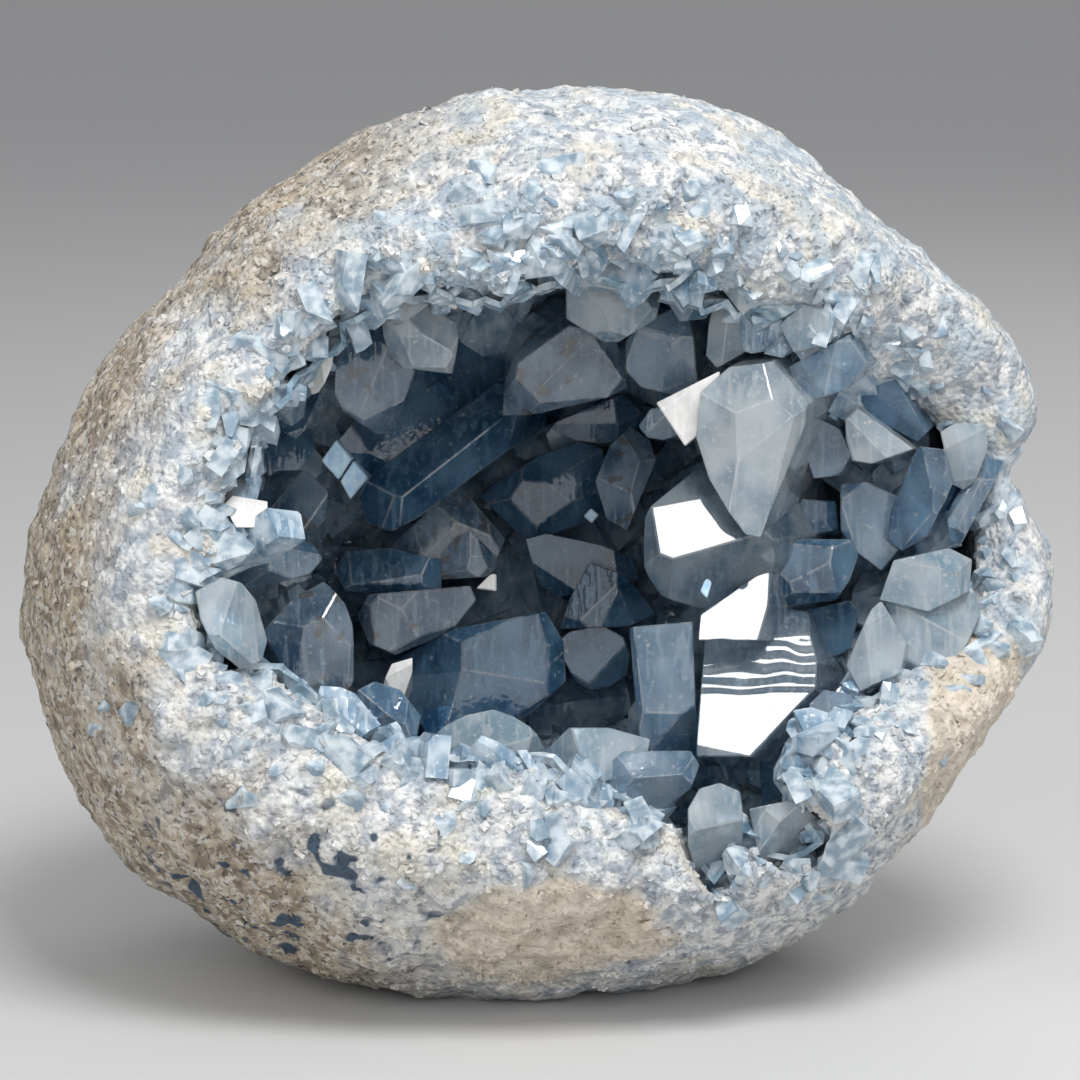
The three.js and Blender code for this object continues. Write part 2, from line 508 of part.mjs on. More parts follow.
// How far along the hollow's wall its rings lie, from the mouth to the deepest point.
const WALL_RINGS = [0.07, 0.2, 0.34, 0.5, 0.66, 0.83, 1];

// The lining's closed profile: out along the hollow's wall, back along its own inner side.
function liningProfile(angle) {
  const cut = section(angle);
  const outer = WALL_RINGS.map((part) => hollowWall(cut, part, GAP)).reverse();
  const swell = (part) => 1.2 * Math.sin(Math.PI * part) * Math.sin(9 * part + 5 * angle);
  const inner = WALL_RINGS.map((part) => hollowWall(cut, part, LINING + swell(part)));
  return [...outer, ...inner];
}

// A closed body whose profile changes with the angle round the W axis. roughen moves its points.
function turned(profile, steps, roughen) {
  const rings = profile(0).length;
  const atPole = (ring) => ring === 0 || ring === rings - 1;
  const placeholder = profile(0).map((_, ring) => new THREE.Vector2(atPole(ring) ? 0 : 1, ring));
  const geometry = new THREE.LatheGeometry(placeholder, steps);
  const points = geometry.getAttribute("position");
  for (let step = 0; step <= steps; step++) {
    const angle = ((step % steps) / steps) * TURN;
    profile(angle).forEach((at, ring) => {
      const reach = atPole(ring) ? 0 : at.x;
      const point = new THREE.Vector3(reach * Math.cos(angle), reach * Math.sin(angle), at.y);
      if (roughen) roughen(point);
      points.setXYZ(step * rings + ring, point.x, point.y, point.z);
    });
  }
  return geometry;
}

const wasm = await Module();
wasm.setup();

// A manifold solid from a closed three.js geometry.
function solid(geometry) {
  const bare = new THREE.BufferGeometry();
  bare.setAttribute("position", geometry.getAttribute("position").clone());
  bare.setIndex(geometry.getIndex());
  const merged = mergeVertices(bare, 1e-4);
  const corners = merged.getIndex().array;
  const triangles = [];
  for (let k = 0; k < corners.length; k += 3) {
    const [a, b, c] = corners.slice(k, k + 3);
    if (a !== b && b !== c && c !== a) triangles.push(a, b, c);
  }
  return new wasm.Manifold(
    new wasm.Mesh({
      numProp: 3,
      vertProperties: new Float32Array(merged.getAttribute("position").array),
      triVerts: new Uint32Array(triangles),
    }),
  );
}

// A named mesh from a manifold solid.
function meshOf(name, body, material) {
  const data = body.getMesh();
  const geometry = new THREE.BufferGeometry();
  geometry.setAttribute("position", new THREE.BufferAttribute(data.vertProperties, 3));
  geometry.setIndex(new THREE.BufferAttribute(data.triVerts, 1));
  geometry.computeVertexNormals();
  const mesh = new THREE.Mesh(geometry, material);
  mesh.name = name;
  return mesh;
}

// Cuts away what lies beyond a plane through point, on the side that normal points to.
function cutBeyond(body, point, normal) {
  const facing = normal.clone().normalize();
  return body.trimByPlane(facing.clone().negate().toArray(), -facing.dot(point));
}

// A point of an outline, brought along its line of sight to the depth w.
function sighted([u, v], w) {
  const shrink = 1 - w / SIGHT;
  return new THREE.Vector3(u * shrink, v * shrink, w);
}

// One crystal: its outline drawn from the front to the root, then cut by its facets. grow widens its seat.
function crystal({ outline, depth, lean = [0, 0], facets }, grow = 1) {
  const [front, root] = depth;
  const run = front - root;
  const corners = outline.flatMap((corner) => {
    const near = sighted(corner, front);
    const far = sighted(corner, root).add(new THREE.Vector3(lean[0] * run, lean[1] * run, 0));
    return [near, far];
  });
  let body = solid(new ConvexGeometry(corners));
  for (const [u, v, below, right, up] of facets) {
    body = cutBeyond(body, sighted([u, v], front - below), new THREE.Vector3(right, up, 1));
  }
  if (grow === 1) return body;
  const box = body.boundingBox();
  const middle = [0, 1, 2].map((k) => (box.min[k] + box.max[k]) / 2);
  return body.translate(middle.map((m) => -m)).scale(grow).translate(middle);
}

// A small crystal that stands on a wall: a block with a sloping end.
function smallCrystal(width, thick, height, slope) {
  const block = new THREE.BoxGeometry(width, thick, height);
  block.translate(0, 0, height / 2);
  return cutBeyond(solid(block), new THREE.Vector3(0, 0, height * 0.8), new THREE.Vector3(-1, 0.25, slope));
}

// Stands a body on a point, with its Z axis along the direction, turned round it by spin.
function stand(body, point, direction, spin) {
  const toward = new THREE.Quaternion().setFromUnitVectors(new THREE.Vector3(0, 0, 1), direction);
  const twist = new THREE.Quaternion().setFromAxisAngle(new THREE.Vector3(0, 0, 1), spin);
  const matrix = new THREE.Matrix4().compose(point, toward.multiply(twist), new THREE.Vector3(1, 1, 1));
  return body.transform(matrix.elements);
}

// The small crystals that cover the lining between the large ones.
function wallCrystals() {
  const next = sequence(11);
  const bodies = [];
  for (const [part, count] of [[0.15, 15], [0.34, 11], [0.54, 9], [0.76, 6]]) {
    for (let k = 0; k < count; k++) {
      const angle = ((k + next() * 0.7) / count) * TURN;
      const cut = section(angle);
      const at = hollowWall(cut, part + 0.08 * (next() - 0.5), LINING - 1);
      const point = new THREE.Vector3(at.x * Math.cos(angle), at.x * Math.sin(angle), at.y);
      const aim = new THREE.Vector3(10 * (next() - 0.5), 10 * (next() - 0.5), 14 + 12 * (next() - 0.5));
      const direction = aim.sub(point).normalize();
      const body = smallCrystal(5 + 4 * next(), 4 + 3 * next(), 6 + 5 * next(), 0.7 + 0.6 * next());
      bodies.push(stand(body, point, direction, next() * Math.PI));
    }
  }
  return bodies;
}

// The crystals that crowd the lip, fused with the stone.
function lipCrystals() {
  const next = sequence(5);
  const bodies = [];
  for (const [across, from, to, count] of [[0.8, -75, 190, 17], [0.5, -65, 120, 12], [0.25, -55, 95, 7]]) {
    for (let k = 0; k < count; k++) {
      const angle = (from + ((to - from) * (k + next() * 0.8)) / count) * RAD;
      const cut = section(angle);
      const shoulder = outside(cut, 1);
      const reach = THREE.MathUtils.lerp(shoulder.x, cut.mouth, across);
      const depth = cut.nose - (across > 0.6 ? 4 : 2.5);
      const point = new THREE.Vector3(reach * Math.cos(angle), reach * Math.sin(angle), depth - 2);
      const tilt = new THREE.Vector3(next() - 0.5, next() - 0.5, 1);
      tilt.addScaledVector(new THREE.Vector3(Math.cos(angle), Math.sin(angle), 0), -0.5);
      const body = smallCrystal(5 + 4 * next(), 4 + 3 * next(), 5 + 2.5 * next(), 0.9 + 0.6 * next());
      bodies.push(stand(body, point, tilt.normalize(), next() * Math.PI));
    }
  }
  return bodies;
}

// The hollow, inset from its wall by inset, and the way out of its mouth, inset by clear.
function hollowSpace(inset, clear) {
  const profile = (angle) => {
    const cut = section(angle);
    const wall = WALL_RINGS.map((part) => hollowWall(cut, part, inset)).reverse();
    const rim = new THREE.Vector2(cut.mouth - clear, cut.edge);
    return [...wall, rim, new THREE.Vector2(cut.mouth - clear, WAY_OUT), new THREE.Vector2(0, WAY_OUT)];
  };
  return solid(turned(profile, INNER_STEPS));
}

const OUTWARD = new THREE.Vector3();

// Moves a point of the stone by its low lumps.
function lumpy(point) {
  OUTWARD.copy(point).normalize();
  point.addScaledVector(OUTWARD, lumps(point.x, point.y, point.z));
}

// The one big body of a join, without the crumbs and sealed pockets that cutting leaves.
function whole(body) {
  return body.decompose().reduce((best, next) => (next.volume() > best.volume() ? next : best));
}

const down = new THREE.Vector3(0, -Math.cos(LEAN * RAD), -Math.sin(LEAN * RAD));
const flat = down.clone().multiplyScalar(FLAT_BELOW);

const seated = CRYSTALS.filter((one) => one.seated);
const loose = CRYSTALS.filter((one) => !one.seated);
const join = (bodies) => wasm.Manifold.union(bodies);

const lip = join(lipCrystals());
const stoneBody = solid(turned(stoneProfile, OUTER_STEPS, lumpy)).add(lip);
const hollowed = stoneBody.subtract(hollowSpace(0, 0));
const seats = join(seated.map((one) => crystal(one, SEAT_SCALE)));
const rindBody = whole(cutBeyond(hollowed.subtract(seats), flat, down));

const lining = solid(turned(liningProfile, INNER_STEPS));
const grown = join([...loose.map((one) => crystal(one)), ...wallCrystals()]);
const inside = grown.intersect(hollowSpace(LINING / 2, GAP));
const crustBody = whole(join([lining, inside, ...seated.map((one) => crystal(one))]));

const stone = new THREE.MeshStandardMaterial({ color: 0xc4c2bd, roughness: 0.95, metalness: 0 });
const celestite = new THREE.MeshStandardMaterial({ color: 0x6d93ae, roughness: 0.12, metalness: 0 });

const nodule = new THREE.Group();
nodule.rotation.x = Math.PI / 2 - LEAN * RAD;
nodule.position.copy(ORIGIN);
nodule.add(meshOf("rind", rindBody, stone));
nodule.add(meshOf("crystal_crust", crustBody, celestite));

const group = new THREE.Group();
group.add(nodule);
export default group;
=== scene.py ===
import math
import random

import bmesh
import bpy
from mathutils import Matrix, Vector, noise
from mathutils.bvhtree import BVHTree


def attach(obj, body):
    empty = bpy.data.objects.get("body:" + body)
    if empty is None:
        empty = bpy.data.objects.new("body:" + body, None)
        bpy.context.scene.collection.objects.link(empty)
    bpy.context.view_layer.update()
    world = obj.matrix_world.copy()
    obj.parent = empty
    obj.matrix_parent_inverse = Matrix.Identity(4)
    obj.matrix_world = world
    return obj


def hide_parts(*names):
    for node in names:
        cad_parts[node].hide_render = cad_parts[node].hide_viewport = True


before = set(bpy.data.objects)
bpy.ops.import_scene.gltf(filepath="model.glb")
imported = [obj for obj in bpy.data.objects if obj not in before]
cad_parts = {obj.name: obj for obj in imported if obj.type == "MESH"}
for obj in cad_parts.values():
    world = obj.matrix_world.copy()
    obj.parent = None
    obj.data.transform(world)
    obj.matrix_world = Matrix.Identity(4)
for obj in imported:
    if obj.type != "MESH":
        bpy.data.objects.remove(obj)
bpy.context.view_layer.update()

# The studio: the geode is seen straight into its mouth, from 10 degrees above. One large soft light hangs
# above and in front of it, where the two brightest crystal faces mirror it. Three weaker ones stand at the
# side, in front and behind.
MM = 0.001
METRE = 1000
LEAN = math.radians(10)
MIDDLE = Vector((0.3, -4.3, 73)) * MM
RIGHT = Vector((1, 0, 0))
UP = Vector((0, math.sin(LEAN), math.cos(LEAN)))
OUT = Vector((0, -math.cos(LEAN), math.sin(LEAN)))
SIGHT = 750
LENS = 145
PHOTO = 1080
MIDDLE_ROW = 545


def at(u, v, w):
    """The point u millimetres right of the geode's middle, v up its mouth and w out of it."""
    return MIDDLE + (RIGHT * u + UP * v + OUT * w) * MM


def turn(u, v, w):
    """The same for a direction."""
    return (RIGHT * u + UP * v + OUT * w).normalized()


def look(item, origin, target, up=Vector((0, 0, 1))):
    """Places a camera or light at origin, facing target."""
    back = (origin - target).normalized()
    side = up.cross(back).normalized()
    turned = Matrix((side, back.cross(side), back)).transposed()
    item.matrix_world = Matrix.Translation(origin) @ turned.to_4x4()


camera = bpy.data.objects.new("camera", bpy.data.cameras.new("camera"))
bpy.context.collection.objects.link(camera)
camera.data.lens = LENS
camera.data.shift_y = (MIDDLE_ROW - PHOTO / 2) / PHOTO
camera.data.clip_start = 0.01
camera.data.clip_end = 50
look(camera, at(0, 0, SIGHT), MIDDLE, UP)
bpy.context.scene.camera = camera

LIT = at(24, -10, 30)


def lamp(name, towards, distance, size, brightness):
    """A rectangular soft light of the given radiance that faces the brightest crystals, in metres."""
    light = bpy.data.lights.new(name, "AREA")
    light.shape = "RECTANGLE"
    light.size, light.size_y = size
    light.energy = brightness * math.pi * size[0] * size[1]
    item = bpy.data.objects.new(name, light)
    bpy.context.collection.objects.link(item)
    look(item, LIT + Vector(towards).normalized() * distance, LIT)


lamp("key_light", towards=(0.17, -0.44, 0.88), distance=0.85, size=(0.36, 0.32), brightness=16)
lamp("side_light", towards=(-0.75, -0.5, 0.45), distance=1.1, size=(0.5, 0.5), brightness=2.2)
lamp("front_light", towards=(0.15, -0.95, 0.3), distance=1.2, size=(1.5, 1.1), brightness=1.0)
lamp("back_light", towards=(0.35, 0.8, 0.75), distance=1.2, size=(0.6, 0.4), brightness=2.5)

world = bpy.data.worlds.new("studio")
bpy.context.scene.world = world
world.use_nodes = True
backdrop = world.node_tree.nodes["Background"].inputs
backdrop["Color"].default_value = (0.88, 0.89, 0.91, 1)
backdrop["Strength"].default_value = 0.42
bpy.context.scene.view_settings.view_transform = "Standard"

# How often light is followed from one surface to the next.
light_paths = bpy.context.scene.cycles
light_paths.max_bounces = 7
light_paths.diffuse_bounces = 2
light_paths.glossy_bounces = 2
light_paths.transmission_bounces = 6


# The floor: a wide matt sheet of pale grey paint, which takes the geode's shadow and mirrors nothing. The
# geode stands on it with the small worn flat of its underside.
FLOOR_REACH = 8
PALE_GREY = (0.62, 0.62, 0.62)


class Value:
    """A shader socket that works in sums."""

    def __init__(self, shader, socket):
        self.shader = shader
        self.socket = socket

    def math(self, operation, *others):
        """One Math node, whose first number is this value."""
        inputs = dict(enumerate((self, *others)))
        return self.shader.node("Math", {"operation": operation}, inputs)

    def __add__(self, other):
        return self.math("ADD", other)

    def __sub__(self, other):
        return self.math("SUBTRACT", other)

    def __rsub__(self, other):
        return self.shader.node("Math", {"operation": "SUBTRACT"}, {0: other, 1: self})

    def __mul__(self, other):
        return self.math("MULTIPLY", other)

    def __truediv__(self, other):
        return self.math("DIVIDE", other)

    __radd__ = __add__
    __rmul__ = __mul__

    def most(self, other):
        """The larger of the two."""
        return self.math("MAXIMUM", other)

    def step(self, low, high):
        """Rises smoothly from 0 at low to 1 at high."""
        inputs = {"Value": self, "From Min": low, "From Max": high}
        return self.shader.node("MapRange", {"interpolation_type": "SMOOTHSTEP"}, inputs)


class Shader:
    """One material and its nodes."""

    def __init__(self, name):
        self.material = bpy.data.materials.new(name)
        self.material.use_nodes = True
        self.tree = self.material.node_tree
        self.tree.nodes.clear()
        self.end = self.tree.nodes.new("ShaderNodeOutputMaterial")
        self.place = self.node("TexCoord", result="Object")

    def node(self, kind, settings=None, inputs=None, result=0):
        """Any node: its type, its settings, what its sockets get, and which of its results is wanted."""
        made = self.tree.nodes.new("ShaderNode" + kind)
        for name, value in (settings or {}).items():
            setattr(made, name, value)
        for name, value in (inputs or {}).items():
            self.feed(made.inputs[name], value)
        return Value(self, made.outputs[result])

    def feed(self, socket, value):
        """Links a value to a socket, or sets a number or a colour."""
        if isinstance(value, Value):
            self.tree.links.new(value.socket, socket)
        elif hasattr(value, "__len__") and len(value) == 3 and socket.type == "RGBA":
            socket.default_value = (*value, 1)
        else:
            socket.default_value = value

    def along(self, axis):
        """How far a point lies from the geode's middle along an axis, in millimetres."""
        inputs = {0: self.place, 1: axis * METRE}
        far = self.node("VectorMath", {"operation": "DOT_PRODUCT"}, inputs, "Value")
        return far - MIDDLE.dot(axis) * METRE

    def oval(self, u, v, width, height, ragged):
        """1 inside an oval in the view from the front, with an edge that a noise makes ragged."""
        across = (self.along(RIGHT) - u) / width
        up = (self.along(UP) - v) / height
        return (across * across + up * up + (ragged - 0.5) * 2).step(1.25, 0.75)

    def mix(self, factor, first, second):
        """Goes from the first colour to the second with the factor."""
        return self.node("Mix", {"data_type": "RGBA"}, {0: factor, 6: first, 7: second}, 2)

    def grain(self, size, detail=2.0, shift=0.0):
        """Even noise from 0 to 1, with lumps of about the given size in millimetres."""
        inputs = {"Vector": self.place, "Scale": 1 / (size * MM), "Detail": detail}
        if shift:
            moved = {0: self.place, 1: (shift,) * 3}
            inputs["Vector"] = self.node("VectorMath", {"operation": "ADD"}, moved)
        return self.node("TexNoise", {}, inputs)

    def cells(self, size):
        """Cells of about the given size in millimetres, and how far a point is from its cell's middle."""
        inputs = {"Vector": self.place, "Scale": 1 / (size * MM)}
        return self.node("TexVoronoi", {}, inputs, "Distance")

    def bump(self, height, strength, depth):
        """A surface that stands out by up to depth millimetres where height is 1."""
        inputs = {"Height": height, "Strength": strength, "Distance": depth * MM}
        return self.node("Bump", {}, inputs)

    def surface(self, inputs):
        """What the surface looks like, by the names of the Principled sockets."""
        made = self.node("BsdfPrincipled", {}, inputs)
        self.tree.links.new(made.socket, self.end.inputs["Surface"])

    def absorb(self, colour, density):
        """Colours the light that goes through the inside."""
        made = self.node("VolumeAbsorption", {}, {"Color": colour, "Density": density})
        self.tree.links.new(made.socket, self.end.inputs["Volume"])


floor_bm = bmesh.new()
bmesh.ops.create_grid(floor_bm, x_segments=1, y_segments=1, size=FLOOR_REACH)
floor_mesh = bpy.data.meshes.new("floor")
floor_bm.to_mesh(floor_mesh)
floor_bm.free()
floor = bpy.data.objects.new("floor", floor_mesh)
bpy.context.collection.objects.link(floor)
floor_paint = Shader("floor_paint")
floor_paint.surface({"Base Color": PALE_GREY, "Roughness": 0.7})
floor_mesh.materials.append(floor_paint.material)


# The rind: a thick shell of limestone that the celestite has grown through, sugary and white round the
# mouth, weathered brown and pitted on the left and underneath. Its surface is worked over the CAD form.
VOXEL = 1.3
SMOOTHINGS = 14
LUMP = 11
KNOB = 3.4
KNOB_HEIGHT = 0.55
SMALL_PIT = 4.6
SMALL_PIT_DEPTH = 1.3
LARGE_PIT = 8
LARGE_PIT_DEPTH = 1.8
HALF_WIDTH = 89
HALF_HEIGHT = 76
GREY_GRAIN = (0.38, 0.42, 0.47)
WHITE_GRAIN = (0.79, 0.79, 0.77)
CREAM = (0.74, 0.68, 0.56)
DARK_CRUMB = (0.30, 0.31, 0.33)
BLUE_GRAIN = (0.36, 0.46, 0.54)
BROWN = (0.20, 0.15, 0.095)
TAN = (0.50, 0.42, 0.31)
PALE_CRUMB = (0.70, 0.67, 0.61)
DULL_OCHRE = (0.52, 0.42, 0.29)
PALE_OCHRE = (0.80, 0.69, 0.54)
DARK_BLUE_SPOT = (0.05, 0.08, 0.12)
DARK_SPECK = (0.09, 0.09, 0.095)


def piece(name, bm, shader, *nodes):
    """Turns a bmesh into a piece of the geode, which stands for the CAD nodes that are named."""
    mesh = bpy.data.meshes.new(name)
    bm.to_mesh(mesh)
    bm.free()
    mesh.materials.append(shader.material)
    item = bpy.data.objects.new(name, mesh)
    bpy.context.collection.objects.link(item)
    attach(item, "root")
    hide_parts(*nodes)
    return item


def lengths(point):
    """How far a point lies to the right of the middle, up the mouth and out of it, in millimetres."""
    away = (point - MIDDLE) / MM
    return Vector((away.dot(RIGHT), away.dot(UP), away.dot(OUT)))


def joined(node):
    """The CAD node's mesh with its doubled corners merged."""
    bm = bmesh.new()
    bm.from_mesh(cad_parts[node].data)
    bmesh.ops.remove_doubles(bm, verts=bm.verts, dist=1e-6)
    return bm


def remeshed(bm, voxel):
    """The same body in even small faces."""
    mesh = bpy.data.meshes.new("rough")
    bm.to_mesh(mesh)
    bm.free()
    item = bpy.data.objects.new("rough", mesh)
    bpy.context.collection.objects.link(item)
    remesh = item.modifiers.new("even", "REMESH")
    remesh.mode = "VOXEL"
    remesh.voxel_size = voxel * MM
    seen = item.evaluated_get(bpy.context.evaluated_depsgraph_get())
    even = bmesh.new()
    even.from_mesh(seen.data)
    bpy.data.objects.remove(item)
    bpy.data.meshes.remove(mesh)
    return even


cad_rind = joined("rind")
rind_walls = BVHTree.FromBMesh(cad_rind)
rind_bm = remeshed(cad_rind, VOXEL)
for _ in range(SMOOTHINGS):
    bmesh.ops.smooth_vert(rind_bm, verts=rind_bm.verts, factor=0.5,
                          use_axis_x=True, use_axis_y=True, use_axis_z=True)


def pit(p, size, share):
    """How deep a point lies in one of the pits that a share of the cells of this size have."""
    distances, centres = noise.voronoi(p / size)
    chosen = noise.cell(centres[0] * 7.3) * 0.5 + 0.5 < share
    return max(0, 1 - distances[0] / 0.42) ** 0.6 if chosen else 0


def rise(value, low, high):
    """Rises evenly from 0 at low to 1 at high."""
    return max(0, min(1, (value - low) / (high - low)))


def rind_relief(point):
    """How far the stone's surface stands out at a point of the CAD form, in millimetres. The left side and
    the underside are the most weathered."""
    p = lengths(point)
    weathered = rise(-p.x, 25, 65) + rise(-p.y, 45, 65) * 0.5
    lumps = noise.fractal(p / LUMP, 1, 2, 3)
    knobs = noise.fractal(p / KNOB + Vector((9, 2, 5)), 0.8, 2.1, 3) * KNOB_HEIGHT
    small_pits = pit(p, SMALL_PIT, 0.22 + 0.2 * weathered) * SMALL_PIT_DEPTH
    large_pits = pit(p + Vector((3, 7, 1)), LARGE_PIT, 0.16) * LARGE_PIT_DEPTH
    return lumps + knobs - (small_pits + large_pits)


rind_bm.normal_update()
for vert in rind_bm.verts:
    vert.co += vert.normal * rind_relief(vert.co) * MM
    vert.co.z = max(vert.co.z, 0)
for face in rind_bm.faces:
    face.smooth = True

stone = Shader("rind_stone")
patch = stone.grain(16, 2)
crumbs = stone.cells(1.15)
crumb_colour = Value(stone, crumbs.socket.node.outputs["Color"])
speck = stone.node("SeparateColor", inputs={0: crumb_colour})
fine = stone.grain(0.8, 1)
coarse = stone.grain(3.2, 2)
right = stone.along(RIGHT) / HALF_WIDTH
up = stone.along(UP) / HALF_HEIGHT
inward = stone.along(OUT) * -1
edge = (right * right + up * up).math("SQRT") + (patch - 0.5) * 0.55

# white and blue-grey sugar on the front, with cream stains and blue spots
sugar = stone.mix(stone.grain(2.4, 2, 0.6).step(0.36, 0.6), GREY_GRAIN, WHITE_GRAIN)
sugar = stone.mix(stone.grain(10, 1, 0.9).step(0.52, 0.66) * 0.6, sugar, CREAM)
sugar = stone.mix(speck.step(0.9, 0.2) * 0.25, sugar, DARK_CRUMB)
bluer = edge.step(1.0, 0.5) * 0.22 + (right + up).step(-0.4, 0.7) * 0.5
sugar = stone.mix(stone.grain(8, 3, 0.31).step(0.47, 0.58) * bluer, sugar, BLUE_GRAIN)

# brown and tan on the left and on the back
brown = stone.mix(coarse.step(0.35, 0.65), BROWN, TAN)
brown = stone.mix(speck.step(0.5, 0.9) * 0.65, brown, PALE_CRUMB)
left_side = edge.step(0.7, 0.92) * (right * -1).step(0.02, 0.45)
weathered = left_side.most((inward + patch * 40).step(25, 60) * 0.85)
ground = stone.mix(weathered * 0.9, sugar, brown)

# two ochre patches, under the mouth and at the right, dark blue spots at the lower left, and dark specks
ochre = stone.oval(2, -64, 18, 9.5, patch).most(stone.oval(74, -36, 11, 22, patch))
ochre_grain = stone.mix(coarse.step(0.3, 0.7), DULL_OCHRE, PALE_OCHRE)
ground = stone.mix(ochre * inward.step(25, 5) * 0.7, ground, ochre_grain)
lower_left = stone.oval(-40, -54, 26, 15, patch) * 0.9 + 0.08
ground = stone.mix(stone.grain(5, 1, 0.4).step(0.6, 0.65) * lower_left, ground, DARK_BLUE_SPOT)
dark_specks = stone.grain(1.0, 1, 0.2).step(0.6, 0.69) * (weathered * 0.5 + 0.35)
ground = stone.mix(dark_specks, ground, DARK_SPECK)
height = fine * 0.5 - crumbs * 0.6 + coarse * 0.8
stone.surface({
    "Base Color": ground,
    "Roughness": 0.9 - speck.step(0.7, 1) * 0.45,
    "Normal": stone.bump(height, 0.8, 0.8),
    "Specular IOR Level": 0.45,
})
rind = piece("rind_stone", rind_bm, stone, "rind")


# Sugar on the lip: the stone near the mouth is covered with small grains of celestite that have grown
# from it, millimetre blocks crowded together, most of them cloudy.
GRAINS = 7000
GRAIN_SIZES = (0.7, 1.6)
LOWEST = 3
STRETCH = 1.35
MOUTH = 36


def grain_shape(seed, cuts, long=1.0):
    """A small block with a few corners cut away, one unit across, as a mesh."""
    pick = random.Random(seed)
    bm = bmesh.new()
    bmesh.ops.create_cube(bm, size=1)
    bmesh.ops.scale(bm, vec=(1, pick.uniform(0.6, 1), long), verts=bm.verts)
    for _ in range(cuts):
        normal = Vector((pick.uniform(-1, 1), pick.uniform(-1, 1), pick.uniform(-0.2, 1))).normalized()
        cut(bm, normal * pick.uniform(0.32, 0.44) * (1 + (long - 1) * abs(normal.z)), normal)
    mesh = bpy.data.meshes.new("grain")
    bm.to_mesh(mesh)
    bm.free()
    return mesh


def cut(bm, point, normal):
    """Cuts away what lies beyond a plane and closes the cut."""
    geom = bm.verts[:] + bm.edges[:] + bm.faces[:]
    bmesh.ops.bisect_plane(bm, geom=geom, dist=1e-7, plane_co=point, plane_no=normal, clear_outer=True)
    bmesh.ops.holes_fill(bm, edges=[edge for edge in bm.edges if edge.is_boundary], sides=0)


def scatter(seed, source, count, wanted):
    """Picks points on the source's faces, each with its normal, where wanted gives the chance of one.
    The lowest few millimetres stay bare."""
    pick = random.Random(seed)
    source.faces.ensure_lookup_table()
    spots = []
    while len(spots) < count:
        face = source.faces[pick.randrange(len(source.faces))]
        centre = face.calc_center_median()
        if centre.z > LOWEST * MM and pick.random() < wanted(lengths(centre), face.normal):
            spots.append((centre, face.normal.copy()))
    return spots


def stand(shape, spot, direction, spin, size, sink):
    """A copy of the shape, standing on the spot along the direction."""
    copy = shape.copy()
    turned = direction.to_track_quat("Z", "Y").to_matrix() @ Matrix.Rotation(spin, 3, "Z")
    placed = Matrix.Translation(spot - direction * sink) @ turned.to_4x4()
    copy.transform(placed @ Matrix.Diagonal((*size, 1)))
    return copy


def planted(seed, spots, shapes, sizes, lean, sunk):
    """Copies of the shapes, one on each spot, in one bmesh. sizes are the least and the greatest width in
    millimetres, lean is how unevenly they tilt, and sunk how far their middles lie in the ground, as a
    share of their height."""
    pick = random.Random(seed)
    bm = bmesh.new()
    for spot, normal in spots:
        tilt = Vector((pick.gauss(0, lean), pick.gauss(0, lean), pick.gauss(0, lean)))
        direction = (normal + tilt).normalized()
        width = pick.uniform(*sizes) * MM
        height = width * pick.uniform(0.8, 1.4)
        size = (width, width * pick.uniform(0.7, 1), height)
        grown = stand(pick.choice(shapes), spot, direction, pick.uniform(0, math.tau), size, height * sunk)
        bm.from_mesh(grown)
        bpy.data.meshes.remove(grown)
    return bm


def mouth_radius(p):
    """How far a point lies from the mouth's middle, with the mouth's width drawn in to its height."""
    return math.hypot(p.x / STRETCH, p.y)


def lip_share(p, normal):
    """How crowded the sugar is: full round the mouth, thin at the left, none inside or on the sides."""
    facing = normal.dot(OUT)
    if mouth_radius(p) < MOUTH or p.z < 4 or facing < -0.2:
        return 0
    return rise(p.z, 10, 40) * min(1, facing + 0.5) * (0.35 if p.x < -55 else 1)


surface_bm = bmesh.new()
surface_bm.from_mesh(rind.data)
surface_bm.normal_update()
blocks = [grain_shape(seed, 1) for seed in range(6)]
lip_spots = scatter(2, surface_bm, GRAINS, lip_share)
sugar_bm = planted(3, lip_spots, blocks, GRAIN_SIZES, lean=0.5, sunk=0.45)
lip_sugar = piece("lip_sugar", sugar_bm, stone, "rind")


# The druse: pale blue crystals of celestite, a few millimetres long, that have grown from the lip, most of
# all above the right half of the mouth and where the lip turns inwards.
DRUSE = 1100
DRUSE_SIZES = (1.8, 5.5)
RING = 47
RING_HALF = 17
OUTERMOST = 66
DRUSE_BLUE = (0.24, 0.33, 0.41)
DRUSE_WHITE = (0.60, 0.67, 0.71)
CELESTITE_IOR = 1.63


def druse_share(p, normal):
    """Where the lip carries druse: where it turns inwards, and on most of the upper right."""
    facing = normal.dot(OUT)
    radius = mouth_radius(p)
    if p.z < 6 or radius > OUTERMOST or facing < -0.5:
        return 0
    turned_in = -normal.dot(turn(p.x / STRETCH, p.y, 0))
    upper_right = p.x > -15 and p.y > 20
    crowd = 1 if upper_right else 0.5 if p.x > 38 else 0.25 if p.y < -25 else 0.06
    return max(min(1, turned_in * 1.5), crowd * max(0, 1 - abs(radius - RING) / RING_HALF) * facing)


druse_shapes = [grain_shape(seed, 5, 1.3) for seed in range(20, 30)]
druse_spots = scatter(7, surface_bm, DRUSE, druse_share)
druse_bm = planted(8, druse_spots, druse_shapes, DRUSE_SIZES, lean=0.6, sunk=0.42)
surface_bm.free()
druse = Shader("druse")
veil = druse.grain(2.5, 2)
druse.surface({
    "Base Color": druse.mix(veil.step(0.35, 0.65), DRUSE_BLUE, DRUSE_WHITE),
    "Roughness": 0.05 + veil.step(0.5, 0.75) * 0.35,
    "IOR": CELESTITE_IOR,
})
lip_druse = piece("lip_druse", druse_bm, druse, "rind")


